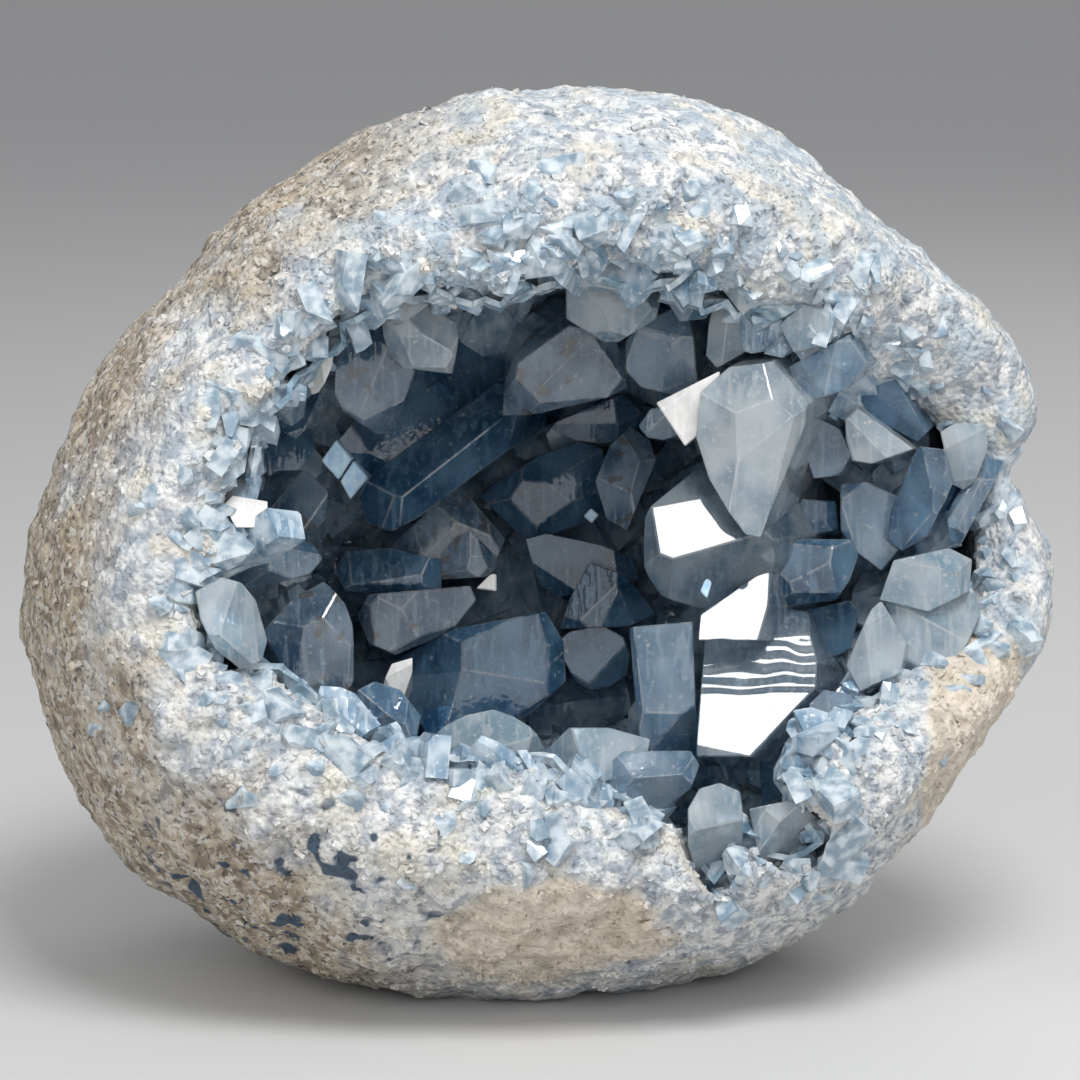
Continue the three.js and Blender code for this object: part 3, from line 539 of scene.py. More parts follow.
# The lining: the crust of blue-grey celestite that covers the wall of the hollow, from which the large
# crystals grow. It is rough with small crystal ends, and thickest at the back of the hollow, but for a few
# open voids between the crystals.
CENTRE = at(0, 0, -4)
LINING = 4.0
FILLING = 17
FILLED_FROM = 15
FILLED_TO = -10
VOIDS = [(11, -28, 10, 7), (-2, 17, 9, 5), (-27, -25, 5, 9), (-8, 3, 6, 8)]
SKIN = 1.0
# Painted shade and light: the lining's dark colours for the back of the hollow, and its pale ones for near
# the mouth.
SHADED_LINING_BLUE = (0.05, 0.12, 0.20)
SHADED_LINING_GREY = (0.26, 0.40, 0.52)
LIT_LINING_BLUE = (0.22, 0.34, 0.44)
LIT_LINING_WHITE = (0.66, 0.74, 0.78)


def wall_point(direction):
    """Where the hollow's wall lies in that direction, or nothing where the mouth is."""
    hit, normal, _, _ = rind_walls.ray_cast(CENTRE, direction)
    if hit is None or normal.dot(direction) > 0:
        return None
    return hit


def void_share(p):
    """1 in the middle of a void, 0 outside them all."""
    far = min(((p.x - u) / width) ** 2 + ((p.y - v) / height) ** 2 for u, v, width, height in VOIDS)
    return max(0, 1 - far)


lining_bm = bmesh.new()
bmesh.ops.create_icosphere(lining_bm, subdivisions=6, radius=1)
gone = []
for vert in lining_bm.verts:
    direction = vert.co.normalized()
    hit = wall_point(direction)
    if hit is None:
        gone.append(vert)
        continue
    p = lengths(hit)
    rough = noise.fractal(p / 7, 1, 2, 3) * 2 + noise.cell(p / 3.0) * 0.9
    behind = rise(-p.z, -FILLED_FROM, -FILLED_TO)
    filling = FILLING * behind * (1 - void_share(p))
    vert.co = hit - direction * (LINING + filling + rough) * MM
bmesh.ops.delete(lining_bm, geom=gone, context="VERTS")
bmesh.ops.recalc_face_normals(lining_bm, faces=lining_bm.faces)
lining_bm.faces.ensure_lookup_table()
middle_face = min(lining_bm.faces, key=lambda face: lengths(face.calc_center_median()).z)
if middle_face.normal.dot(OUT) < 0:
    bmesh.ops.reverse_faces(lining_bm, faces=lining_bm.faces)
lining_bm.normal_update()
wall_bm = lining_bm.copy()
bmesh.ops.solidify(lining_bm, geom=lining_bm.faces, thickness=SKIN * MM)

lining = Shader("lining")
shade = lining.grain(6, 3)
# Painted shade: the lining goes from dark at the back of the hollow, where shade falls, to pale near the
# mouth, where the light falls.
near = lining.along(OUT).step(-42, 22)
painted_shade_colour = lining.mix(shade.step(0.35, 0.7), SHADED_LINING_BLUE, SHADED_LINING_GREY)
painted_light_colour = lining.mix(shade.step(0.35, 0.7), LIT_LINING_BLUE, LIT_LINING_WHITE)
lining.surface({
    "Base Color": lining.mix(near, painted_shade_colour, painted_light_colour),
    "Roughness": 0.15 + lining.grain(1.5, 2).step(0.4, 0.7) * 0.4,
    "Normal": lining.bump(lining.cells(2.4), 0.8, 1.4),
    "IOR": CELESTITE_IOR,
})
crust_lining = piece("crust_lining", lining_bm, lining, "crystal_crust")


# Small crystals of the crust: blue blocks a few millimetres across that crowd the wall between the large
# crystals and point into the hollow.
SMALL_CRYSTALS = 1900
SMALL_SIZES = (2.5, 7)
MIDDLE_CRYSTALS = 130
MIDDLE_SIZES = (7, 14)
MIDDLE_FRONT = 2
STREAK = 1.1
# The white of the flecks, which the crystals have, and of the painted highlight on their bevelled edges.
FLECK_AND_HIGHLIGHT_WHITE = (0.90, 0.92, 0.93)
RUST = (0.24, 0.18, 0.11)


def wall_share(p, normal):
    """The small crystals stand everywhere on the wall."""
    return 1


def deep_share(p, normal):
    """The larger ones stand only well behind the mouth."""
    return 1 if p.z < MIDDLE_FRONT else 0


small_shapes = [grain_shape(seed, 5, 1.6) for seed in range(40, 52)]
wall_spots = scatter(11, wall_bm, SMALL_CRYSTALS, wall_share)
small_bm = planted(12, wall_spots, small_shapes, SMALL_SIZES, lean=0.5, sunk=0.3)
deep_spots = scatter(13, wall_bm, MIDDLE_CRYSTALS, deep_share)
middle_bm = planted(14, deep_spots, small_shapes, MIDDLE_SIZES, lean=0.45, sunk=0.3)
middle_mesh = bpy.data.meshes.new("middle")
middle_bm.to_mesh(middle_mesh)
middle_bm.free()
small_bm.from_mesh(middle_mesh)
bpy.data.meshes.remove(middle_mesh)
wall_bm.free()


def crystal_shader(name, pale, dark, veil_size, cloud, clear=0, absorbed=None, density=0, roughness=0.03,
                   painted_shade=1, turned=0.6, stepped=False, stain=0):
    """Celestite of two tones, with cloudy veils that make it rougher by cloud, streaks along a turned
    direction, white flecks, and a painted highlight in white on its bevelled edges. A dimming number below
    1
    paints shade: it darkens the colour towards the back of the hollow. The stepped flag gives it the growth
    lines of the lower bright facet, and stain is how strong its rust is."""
    made = Shader(name)
    veils = made.grain(veil_size, 1)
    slant = {"Vector": made.place, "Rotation": (turned, turned * 2, turned * 3), "Scale": (1, 0.5, 0.07)}
    inputs = {"Vector": made.node("Mapping", {}, slant), "Scale": 1 / (STREAK * MM), "Detail": 1}
    streaks = made.node("TexNoise", {}, inputs)
    fine = made.grain(0.9, 1, 0.2)
    flecks = fine.step(0.7, 0.74)
    painted_edge_highlight = made.node("Attribute", {"attribute_name": "edge"}, result="Fac")
    base = made.mix(veils.step(0.3, 0.75), dark, pale)
    base = made.mix(streaks.step(0.52, 0.66) * 0.7, base, pale)
    base = made.mix(fine.step(0.5, 0.7) * 0.4, base, pale)
    # White flecks, and a painted highlight in white on the bevelled edges.
    base = made.mix((flecks * 0.75).most(painted_edge_highlight * streaks.step(0.35, 0.5) * 0.5), base, FLECK_AND_HIGHLIGHT_WHITE)
    if stain:
        base = made.mix(made.grain(3, 1, 0.8).step(0.60, 0.68) * stain, base, RUST)
    # Painted shade: the colour is darkened towards the back of the hollow.
    if painted_shade < 1:
        shaded_base = made.mix(0.7, base, [tone * painted_shade for tone in dark])
        base = made.mix(made.along(OUT).step(-40, 20), shaded_base, base)
    relief = streaks * 0.7 + veils * 0.8 + fine * 0.3
    if stepped:
        band = made.along(UP)
        inside = (band.step(-25.5, -23.5) - band.step(-17, -15)) * made.along(RIGHT).step(24, 25)
        relief = relief * 0.4 + (band * 1.4 + veils * 7).math("SINE") * inside * 2.5
    made.surface({
        "Base Color": base,
        "Roughness": veils.step(0.5, 0.75) * cloud + roughness,
        "Normal": made.bump(relief, 0.2, 0.4),
        "Transmission Weight": clear,
        "IOR": CELESTITE_IOR,
    })
    if density:
        made.absorb(absorbed, density)
    return made


# Painted shade: the small crystals' colour is darkened towards the back of the hollow.
small_blue = crystal_shader("small_blue", pale=(0.56, 0.65, 0.72), dark=(0.18, 0.29, 0.40), veil_size=4,
                            cloud=0.3, painted_shade=0.6)
small_crystals = piece("small_crystals", small_bm, small_blue, "crystal_crust")


# Deep blue crystals: the long prism, the broad blade and the blocks in the depth of the hollow. They are
# thick and strongly coloured, so they look navy or teal and let little through. Like all the large
# crystals, they are grown fast to the lining, with their roots in the stone.
ROOT_CUTS = 4
ROOT = 7
EDGE = 0.22
MERGED = 0.15
CHIPS = 3
CHIP_DEPTHS = (0.6, 2.2)


def sighted(u, v, w):
    """The point at the depth w that is seen at u and v on the geode's middle plane."""
    shrink = 1 - w / SIGHT
    return at(u * shrink, v * shrink, w)


def rooted(bm):
    """Cuts off what would reach further into the stone behind the hollow than a root does."""
    for _ in range(ROOT_CUTS):
        worst, plane = 0, None
        for vert in bm.verts:
            away = vert.co - CENTRE
            hit = wall_point(away.normalized())
            if hit is None:
                continue
            past = away.length - (hit - CENTRE).length - ROOT * MM
            if past > worst:
                worst, plane = past, (hit + away.normalized() * ROOT * MM, away)
        if plane is None:
            return
        cut(bm, *plane)


def chip(bm, pick):
    """Takes a small corner off the crystal's front."""
    front = sorted(bm.verts, key=lambda vert: -lengths(vert.co).z)[:max(4, len(bm.verts) // 2)]
    middle = sum((vert.co for vert in bm.verts), Vector()) / len(bm.verts)
    corner = pick.choice(front).co.copy()
    away = (corner - middle).normalized() + OUT * pick.uniform(0, 0.6)
    spread = Vector((pick.gauss(0, 0.25), pick.gauss(0, 0.25), pick.gauss(0, 0.25)))
    depth = pick.uniform(*CHIP_DEPTHS)
    cut(bm, corner - away.normalized() * depth * MM, (away + spread).normalized())


def crystal(bm, pick, chips, outline, depth, lean, facets):
    """One crystal, in millimetres: its outline as u and v, seen from the front, is drawn back from its
    front to its root, the two depths, and leans right and up as it goes back. Each facet cuts it at u and
    v, below the front, square to a direction that leans right and up as it comes forward."""
    front, root = depth
    run = front - root
    part = bmesh.new()
    for u, v in outline:
        part.verts.new(sighted(u, v, front))
        part.verts.new(sighted(u, v, root) + (RIGHT * lean[0] + UP * lean[1]) * run * MM)
    hull = bmesh.ops.convex_hull(part, input=part.verts)
    inner = [item for item in hull["geom_interior"] if isinstance(item, bmesh.types.BMVert)]
    bmesh.ops.delete(part, geom=inner, context="VERTS")
    for u, v, below, right, up in facets:
        cut(part, sighted(u, v, front - below), turn(right, up, 1))
    for _ in range(chips):
        chip(part, pick)
    rooted(part)
    bmesh.ops.remove_doubles(part, verts=part.verts, dist=MERGED * MM)
    bmesh.ops.dissolve_limit(part, angle_limit=math.radians(1), verts=part.verts, edges=part.edges)
    # The bevelled faces are marked, so that the shaders can paint a highlight on them.
    edge_mark = part.faces.layers.float.new("edge")
    bevelled = bmesh.ops.bevel(part, geom=part.edges, offset=EDGE * MM, offset_type="OFFSET",
                               affect="EDGES", segments=1, profile=0.5, material=-1, clamp_overlap=True)
    for face in bevelled["faces"]:
        face[edge_mark] = 1
    bmesh.ops.recalc_face_normals(part, faces=part.faces)
    mesh = bpy.data.meshes.new("crystal")
    part.to_mesh(mesh)
    part.free()
    bm.from_mesh(mesh)
    bpy.data.meshes.remove(mesh)


def crystals(name, cluster, shader, chips=CHIPS):
    """The crystals of one kind, as one piece."""
    bm = bmesh.new()
    bm.faces.layers.float.new("edge")
    pick = random.Random(len(cluster))
    for one in cluster:
        crystal(bm, pick, chips, *one)
    made = piece(name, bm, shader, "crystal_crust")


DEEP = [
    # long deep blue prism, lying across the left of the hollow
    ([(-34.5, 6.5), (-33, 2), (-28, 1), (-24, 3), (-10.5, 13.5), (-8.5, 20.5), (-9, 24.5),
        (-13.5, 24.5), (-31.5, 11)],
        (18, -44), (0.35, 0.2),
        [(-19, 12, 6, -0.2, 0.8), (-19, 12, 6, 0.82, -0.47), (-30, 4.5, 5, -1.5, -0.9)]),
    # broad blue blade behind it, with a bright end
    ([(-37.5, 12.5), (-35, 18), (-14.5, 42), (1, 48), (3.5, 45), (-7, 25), (-17, 20.5), (-33.5, 9)],
        (6, -48), (0.2, 0.1),
        [(-30, 17, 0, 0.35, 0.25), (-34.5, 13, 1, -1.1, -0.4)]),
    # dark crystals in the upper left corner
    ([(-45.5, 27.5), (-45, 20), (-41.5, 18), (-37, 25), (-36, 29.5), (-41.5, 31)],
        (8, -26), (-0.3, 0.1),
        [(-41, 25, 0, 0.4, -0.3), (-44, 24, 0.8, -1, 0.1)]),
    # dark crystal below them
    ([(-48, 18), (-46.5, 11), (-41.5, 12), (-37.5, 16.5), (-38, 20), (-43, 20.5)],
        (6, -26), (-0.3, 0),
        [(-43, 16, 0, 0.3, 0.4), (-43, 13, 0.5, 0.1, -1.1)]),
    # dark block in the middle left
    ([(-33.5, -1), (-26, -0.5), (-17, -2.5), (-17, -8), (-24, -8.5), (-33.5, -8), (-35.5, -4.5)],
        (4, -38), (0, 0),
        [(-26, -4, 0, 0, 0.15), (-26, -7, 0.4, 0, -1.2)]),
    # dark crystals deep in the middle
    ([(-10.5, 8.5), (-7, 11), (0, 15.5), (7, 18), (11, 16.5), (11, 6), (7, 3.5), (1, 1.5),
        (-2.5, 1), (-7, 5)],
        (-16, -52), (0, 0),
        [(2, 10, 0, 0.15, 0.2), (-5, 7, 0.3, -0.5, -0.5), (6, 7, 0.6, 0.5, -0.7)]),
    # teal blade under the roof
    ([(1, 20.5), (14, 26), (18, 22.5), (17, 19), (10.5, 17.5), (6, 18)],
        (-8, -50), (0, 0),
        [(10, 21, 0, 0, -0.4)]),
    # slabs under the dark crystals
    ([(-2.5, 1), (1, 2), (10.5, 0), (16.5, -2.5), (17, -6), (10.5, -7), (3.5, -9), (0, -7),
        (-1.5, -2.5)],
        (-11, -52), (0, 0),
        [(7, -2, 0, -0.1, 0.4), (3, -5, 0.6, -0.5, -0.5), (12, -5, 0.7, 0.2, -0.9)]),
    # teal three-sided crystal
    ([(3.5, -14.5), (5, -9.5), (8.5, -3), (14.5, -5), (19, -10.5), (20, -12), (15.5, -14)],
        (-3, -46), (0, 0),
        [(10, -10, 0, -0.2, 0.2), (14, -9, 0.2, 0.7, 0.1)]),
    # dark eight-sided crystal
    ([(2.5, -17), (5, -15), (10.5, -13.5), (14.5, -16), (15.5, -19), (15, -22.5), (12, -24.5),
        (8.5, -25), (6, -23.5)],
        (1, -44), (0, 0),
        [(9, -18.5, 0, -0.6, 0.5), (9, -18.5, 0, 0.6, 0.6), (9, -18.5, 0, -0.5, -0.8),
        (9, -18.5, 0, 0.6, -0.6)]),
    # big teal block, bottom of the hollow
    ([(-25, -20), (-21.5, -18), (-15.5, -14.5), (1, -11.5), (4, -16.5), (4.5, -23.5), (-1.5, -29),
        (-5, -31), (-19, -33), (-24, -26.5)],
        (7, -38), (0, 0),
        [(-10, -22, 0, 0.04, 0.25), (1, -18, 0.5, 1, 0.1), (-18, -18, 1.5, -0.4, 1.2),
        (-21, -25, 0.5, -0.9, -0.2)]),
    # dark streaked crystal right of the bright one
    ([(37.5, -35), (45, -26.5), (47.5, -30), (47, -37), (43, -45), (38, -46)],
        (22, -12), (0.1, -0.2),
        [(43, -36, 0, 0.2, 0.3), (39.5, -38, 0.5, -0.9, 0)]),
    # dark crystal hanging at the upper right
    ([(53, 25), (55, 32), (58.5, 34.5), (63, 34), (66.5, 26), (67.5, 20), (64.5, 17), (57, 20.5)],
        (18, -14), (0.2, 0.2),
        [(60, 27, 0, -0.1, -0.2), (60, 21, 0.6, -0.2, -1.3)]),
    # upright slate crystal, right
    ([(60, 5.5), (64.5, 16), (65.5, 17), (69.5, 16.5), (71, 10.5), (70, 8), (66.5, 1.5), (62, -1),
        (59.5, 1)],
        (20, -14), (0.1, 0),
        [(67, 8, 0, 0.15, -0.1), (62.5, 9, 0.1, -1.1, 0.5)]),
    # deep blue block, right of the middle
    ([(37, -4.5), (39, -1), (45, 1), (53.5, 1), (55, -1.5), (53.5, -6), (51, -9.5), (43, -10.5),
        (39, -8)],
        (19, -24), (0, 0),
        [(46, -5, 0, -0.1, 0.2), (46, -8.5, 0.4, 0, -1.1), (45, -0.5, 0.4, 0, 1.3)]),
    # blue crystal below it
    ([(45, -11.5), (53.5, -9.5), (55, -12), (53.5, -18), (47.5, -21), (46, -16.5)],
        (14, -26), (0, 0),
        [(50, -15, 0, 0.2, 0.2)]),
]
deep_shader = crystal_shader("deep_blue", pale=(0.26, 0.50, 0.74), dark=(0.04, 0.14, 0.28), veil_size=9,
                             cloud=0.12, clear=0.75, absorbed=(0.28, 0.58, 0.78), density=35, turned=0.4)
crystals("deep_crystals", DEEP, deep_shader)


# Blue-grey crystals: clear blocks of celestite of middling colour, mostly at the edges of the hollow, where
# they grow from the lining.
BLUE = [
    # blue-grey blocks at the left
    ([(-52, -6), (-51, -2.5), (-48, 1), (-43, 2.5), (-37, 0), (-36, -2.5), (-38.5, -5), (-50, -8)],
        (24, -2), (-0.4, 0),
        [(-44, -2, 0, 0.3, 0.35), (-45, -5, 0.6, 0, -0.9), (-38.5, -2, 1, 1.3, 0)]),
    # blue blocks at the bottom edge
    ([(-31.5, -25), (-28.5, -23.5), (-24, -25), (-20.5, -29.5), (-21.5, -34.5), (-27.5, -35),
        (-32, -29.5)],
        (33, 6), (0, 0),
        [(-27, -29, 0, 0.1, 0.4), (-23.5, -29, 0.5, 1.2, 0.5)]),
    # green-grey block under the roof
    ([(14.5, 34.5), (17, 38), (25, 41.5), (26.5, 35.5), (27, 27.5), (23.5, 25), (17, 26.5),
        (14.5, 29.5)],
        (20, -14), (0.1, 0.2),
        [(21, 33, 0, 0.1, -0.12), (16.5, 32, 0.3, -1.2, 0), (22, 27.5, 0.3, 0.1, -1.2)]),
    # small teal lump
    ([(17, 20.5), (19, 23.5), (21.5, 24), (24, 21.5), (24, 19), (21.5, 18), (18.5, 18.5)],
        (19, -12), (0, 0),
        [(20.5, 21, 0, -0.3, 0.3), (22.5, 20, 0.3, 0.9, -0.6)]),
    # lumps between the roof and the pale plane
    ([(20, 45), (25, 47.5), (29.5, 48), (31, 42), (28.5, 39), (24, 38.5)],
        (29, 2), (0, 0),
        [(25, 43, 0, 0.1, -0.3), (27, 40, 0.4, 0.4, -1.4)]),
    # slate blue upright block beside it
    ([(15, -13.5), (26, -12.5), (26, -16.5), (27, -35.5), (20, -36.5), (17, -33), (16, -25)],
        (28, -12), (0.1, -0.2),
        [(22, -24, 1.5, 0, 0.15), (17.2, -24, 1.6, -1.4, 0)]),
    # blue block lying on the bottom edge
    ([(10, -39), (14.5, -35.5), (26, -35.5), (27.5, -38), (26, -42), (21.5, -45.5), (14, -44),
        (10.5, -42)],
        (42, 14), (0, 0),
        [(18, -40, 0, 0, 0.7), (18, -40, 0, 0.1, -0.6)]),
    # rounded lobe at the right
    ([(45, -26.5), (47.5, -24), (52.5, -25), (54, -30), (51, -33.5), (45.5, -33)],
        (30, -2), (0.3, -0.2),
        [(49.5, -29, 0, 0, 0.3), (46.5, -29, 0.5, -1.1, 0), (50, -32, 0.4, 0.3, -1)]),
    # lobe below it
    ([(47, -34.5), (50, -33.5), (55, -37), (54, -42), (48.5, -43.5), (45.5, -40)],
        (34, 6), (0.2, -0.2),
        [(50, -38, 0, 0.2, 0.3), (47.5, -38, 0.5, -1, 0.1)]),
    # slate crystal, upper right
    ([(40, 29), (47, 30.5), (56.5, 38), (58, 34.5), (55, 29.5), (51.5, 26), (47.5, 25), (45, 24),
        (43, 25.5)],
        (30, -2), (0.3, 0.2),
        [(50, 31, 0, 0.1, 0.1), (45, 27, 0.3, -0.2, -0.8)]),
    # dark rounded crystal
    ([(45.5, 15.5), (46, 20.5), (48.5, 21.5), (51.5, 20), (53.5, 15.5), (51.5, 12), (47, 11.5)],
        (17, -20), (0.1, 0),
        [(49, 17, 0, -0.2, 0.3), (50, 13.5, 0.5, 0.4, -1)]),
    # blade in the notch of the right edge
    ([(70, 5), (71.5, 8), (76.5, 15.5), (80, 14.5), (78.5, 11), (75, 4.5), (72.5, 0), (70.5, 1)],
        (13, -12), (0, 0),
        [(74.5, 8, 0, 0.2, -0.1), (72.5, 8, 0.3, -1.2, 0.8)]),
    # pale blue crystal, middle right
    ([(51.5, 10.5), (56, 11), (62, 8), (63, 1), (58.5, -4.5), (54.5, -1.5), (51.5, 2.5)],
        (16, -24), (0.1, 0),
        [(57, 4, 0, 0.1, 0.3), (54, 5, 0.5, -0.9, 0.1)]),
    # small crystals beside the striated one
    ([(45, 8), (51, 7.5), (51.5, 2.5), (45.5, 1.5), (44, 4.5)],
        (12, -30), (0, 0),
        [(48, 5, 0, 0, 0.4)]),
    # narrow crystal between them
    ([(39, 11), (45, 13.5), (44.4, 7.5), (40.5, 2.5), (39, 4.5)],
        (12, -30), (0, 0),
        [(42, 8, 0, 0.3, 0.2)]),
]
blue_shader = crystal_shader("blue_grey", pale=(0.50, 0.68, 0.84), dark=(0.15, 0.32, 0.51), veil_size=8,
                             cloud=0.18, clear=0.7, absorbed=(0.42, 0.70, 0.85), density=25, turned=0.7)
crystals("blue_crystals", BLUE, blue_shader)


# Pale crystals: celestite that is thin, so it lets most light through and looks like ice. Their pale colour
# is partly their own and partly painted light, as they stand near the mouth, where the light falls. They
# grow from the lining and stand close behind the lip.
PALE = [
    # lumps on the roof, left of the middle
    ([(-12, 49), (-10.5, 44), (-7, 41.5), (-4.5, 41.5), (-1.5, 43), (1.5, 47.5), (2, 52), (-9, 53)],
        (36, 10), (0, 0),
        [(-5, 47, 0, -0.1, -0.4), (-5, 43, 0.8, 0, -1.6), (0, 46, 0.6, 1.3, -0.6)]),
    # lump on the roof, right of the middle
    ([(3.5, 50), (3, 46.5), (5, 44.5), (10.5, 43.5), (17, 44.5), (18, 50), (10.5, 53), (6, 53)],
        (38, 14), (0, 0),
        [(10, 48, 0, 0, -0.3), (10, 45.5, 0.5, 0.1, -1.4), (5, 47, 0.4, -1.3, 0)]),
    # glassy lobes below it
    ([(4.5, 46), (4.5, 39), (7, 37.5), (11, 35), (13.5, 35), (16, 36.5), (20, 39), (21, 43), (17, 47)],
        (29, 2), (0, 0),
        [(12, 41, 0, 0.1, -0.2), (10, 37.5, 0.7, -0.3, -1.5), (18, 39.5, 0.7, 0.9, -0.9)]),
    # pale crystal on the left lip
    ([(-59.5, -8), (-55, -5.5), (-51.5, -6.5), (-49, -9.5), (-47, -16.5), (-48, -20),
        (-51.5, -21.5), (-56, -18), (-58.5, -13)],
        (54, 26), (0, 0),
        [(-54, -12, 1.5, 0.5, 0), (-49, -13, 4, 1.6, 0.1)]),
    # clear crystal with a white top, at the bottom edge
    ([(-20.5, -33.5), (-16.5, -29), (-13, -27), (-8, -26), (-4.5, -28), (1.5, -33.5), (-3.5, -37),
        (-15.5, -37)],
        (38, 10), (0, -0.6),
        [(-9, -32, 0, 0.05, 0.35), (-10, -28.5, 1, -0.2, 1.6), (-2, -31, 1, 1, 0.8)]),
    # pale crystals on the bottom edge
    ([(0, -36.5), (5, -31.5), (12, -31.5), (19, -33.5), (18, -39), (10.5, -41), (2, -40)],
        (40, 10), (0, 0),
        [(9, -35, 0, -0.1, 0.15), (4, -34, 0.4, -0.9, 0.7)]),
    # pale crystals on the lower left edge
    ([(-47, -26.5), (-41.5, -25), (-34.5, -27.5), (-33, -31), (-38, -34), (-45.5, -30)],
        (38, 16), (0, 0),
        [(-40, -29, 0, 0.3, 0.5)]),
    # pale blue plane, upper right
    ([(28.5, 37), (30, 44), (31.5, 46), (36, 42), (38.5, 37), (38.5, 35.5), (35.5, 33), (30, 30),
        (28, 32)],
        (26, -2), (0.2, 0.2),
        [(33, 37, 0, -0.2, 0.1), (37, 36, 0.4, 1.2, -0.5)]),
    # clear crystal above it
    ([(30, 49), (33.5, 52), (39, 50), (39.5, 45), (37, 41.5), (35, 39.5), (31.5, 44)],
        (35, 10), (0, 0),
        [(35, 46, 0, 0.2, -0.3), (32, 46, 0.4, -1.2, -0.2), (38, 45, 0.5, 1.4, -0.2)]),
    # aqua upright crystal on the lower lip
    ([(25.5, -45.5), (27.5, -42), (31, -41), (34.5, -42.5), (35, -46.5), (35, -52.5), (33, -58),
        (30.5, -60.5), (27, -58), (25.5, -51.5)],
        (50, 26), (0, 0),
        [(30, -50, 1, -0.4, 0.1), (30, -50, 1, 0.45, 0.1), (31, -43.5, 2, 0, 1.4),
        (30, -57, 1.5, 0, -1)]),
    # pale block above the blade
    ([(69, 19.5), (71.5, 21), (77, 21), (77, 16), (75, 11), (73, 9.5), (71, 10.5)],
        (17, -8), (0, 0),
        [(73, 16, 0, 0.1, -0.2)]),
    # pale crystal, lower right
    ([(52.5, -20.5), (57, -11), (58.5, -9.5), (63, -16.5), (62, -22), (55, -25)],
        (26, -14), (0.1, -0.1),
        [(58, -17, 0, 0.1, 0.2), (55, -17, 0.3, -1.1, 0.4)]),
    # pale crystal pointing right
    ([(60.5, -6.5), (61, -2.5), (70.5, -0.5), (74.5, -2.5), (74, -8), (67, -11.5), (58.5, -9.5)],
        (22, -14), (0, 0),
        [(67, -5, 0, 0.3, 1.0), (66, -9.5, 1, 0, -0.6)]),
    # big pale crystal at the right edge
    ([(62, -15.5), (59.5, -10), (67, -10.5), (75, -8), (76, -12), (73, -18.5), (68, -23), (63, -22)],
        (21, -12), (0, 0),
        [(69, -15, 0, 0.2, 0.3), (65, -19, 0.5, -0.5, -0.8)]),
    # lumps at the upper right edge
    ([(40.5, 37), (45, 41), (50, 40), (50, 34.5), (43, 32)],
        (33, 6), (0.2, 0.3),
        [(45, 37, 0, 0, 0.2), (42.5, 35, 0.4, -1, -0.4)]),
]
# Partly painted light: these colours are paler for the light that falls near the mouth.
pale_shader = crystal_shader("pale_blue", pale=(0.78, 0.87, 0.92), dark=(0.36, 0.53, 0.66), veil_size=6,
                             cloud=0.25, clear=0.62, absorbed=(0.6, 0.82, 0.9), density=20, turned=1.1)
crystals("pale_crystals", PALE, pale_shader)


# Smoky crystals: grey and lilac celestite, clear with brownish clouds that grew into it. They grow from the
# lining, mostly in the left half.
SMOKY = [
    # hanging grey plate
    ([(-35, 41.5), (-35.5, 26), (-34, 23), (-28, 19), (-25, 20), (-21.5, 30), (-25, 37), (-30.5, 42)],
        (26, 4), (0, 0),
        [(-28, 30, 0, 0.12, -0.05), (-23, 25, 0.6, 1.7, -0.4), (-31, 21.5, 0.5, -0.8, -1.5)]),
    # smoky crystal hanging from the roof
    ([(-6.5, 21), (-6, 27.5), (-4.5, 32), (-1, 36), (4.5, 38), (12.5, 36.5), (14.5, 30), (15, 26),
        (10.5, 25), (0, 22)],
        (17, -14), (0, 0.3),
        [(2, 29, 0, 0.05, -0.05), (0, 24.5, 0.2, 0.15, -1.2), (-4.5, 28, 0.3, -1.4, 0.2),
        (-2, 33, 0.3, -0.8, 1.1)]),
    # lilac upright crystal, lower left
    ([(-36, -5), (-41.5, -8), (-47, -14), (-45, -18), (-41.5, -26.5), (-37.5, -28), (-33.5, -26),
        (-31.5, -23), (-31.5, -13), (-32.5, -9.5)],
        (27, -4), (-0.2, -0.2),
        [(-37.5, -20, 0, -0.38, 0.05), (-37.5, -20, 0, 0.58, -0.06), (-38, -13, 0.2, -0.1, 0.6)]),
    # grey crystal under the long prism
    ([(-25.5, 0), (-16.5, 8.5), (-14, 10.5), (-6, 1), (-7.5, -2.5), (-22.5, -7), (-26, -7)],
        (-4, -46), (0, 0),
        [(-17, 1, 0, -0.1, 0.1), (-9, 3, 0.4, 1.2, 0.7), (-19, -5.5, 0.5, 0.2, -1)]),
    # clear grey wedge
    ([(-18, -6), (-17, -1.5), (-14.5, 1.5), (-12, 2.5), (-10.5, 1), (-7.5, -2), (-7.5, -4),
        (-9.5, -5.5)],
        (0, -36), (0, 0),
        [(-13, -2, 0, 0, 0.1), (-9.5, -2, 0.4, 1.3, 0.5), (-16.5, -2, 0.4, -1.1, 0.4)]),
    # grey lump under it
    ([(-29.5, -8.5), (-23, -8), (-12, -7), (-11, -9.5), (-14.5, -14), (-19, -16.5), (-25, -19),
        (-29.5, -17), (-31.5, -12)],
        (5, -36), (0, 0),
        [(-22, -12, 0, 0.1, 0.2), (-17, -14, 0.3, 0.6, -1.1)]),
    # slender green-grey crystal
    ([(9.5, 11), (12, 17), (15.5, 20.5), (19, 18), (20, 14.5), (17, 8), (15, 2.5), (11.5, 4.5)],
        (9, -40), (0, 0),
        [(15, 12, 0, -0.5, 0.05), (15, 12, 0, 0.6, 0.15)]),
    # small pale block
    ([(-44.5, 6.5), (-39, 12.5), (-38, 13), (-35, 9.5), (-34.5, 4.5), (-37.5, 2), (-43, 3)],
        (18, -12), (-0.5, 0),
        [(-39, 8, 0, -0.1, 0.1), (-39, 3.5, 0.4, 0, -1.5)]),
]
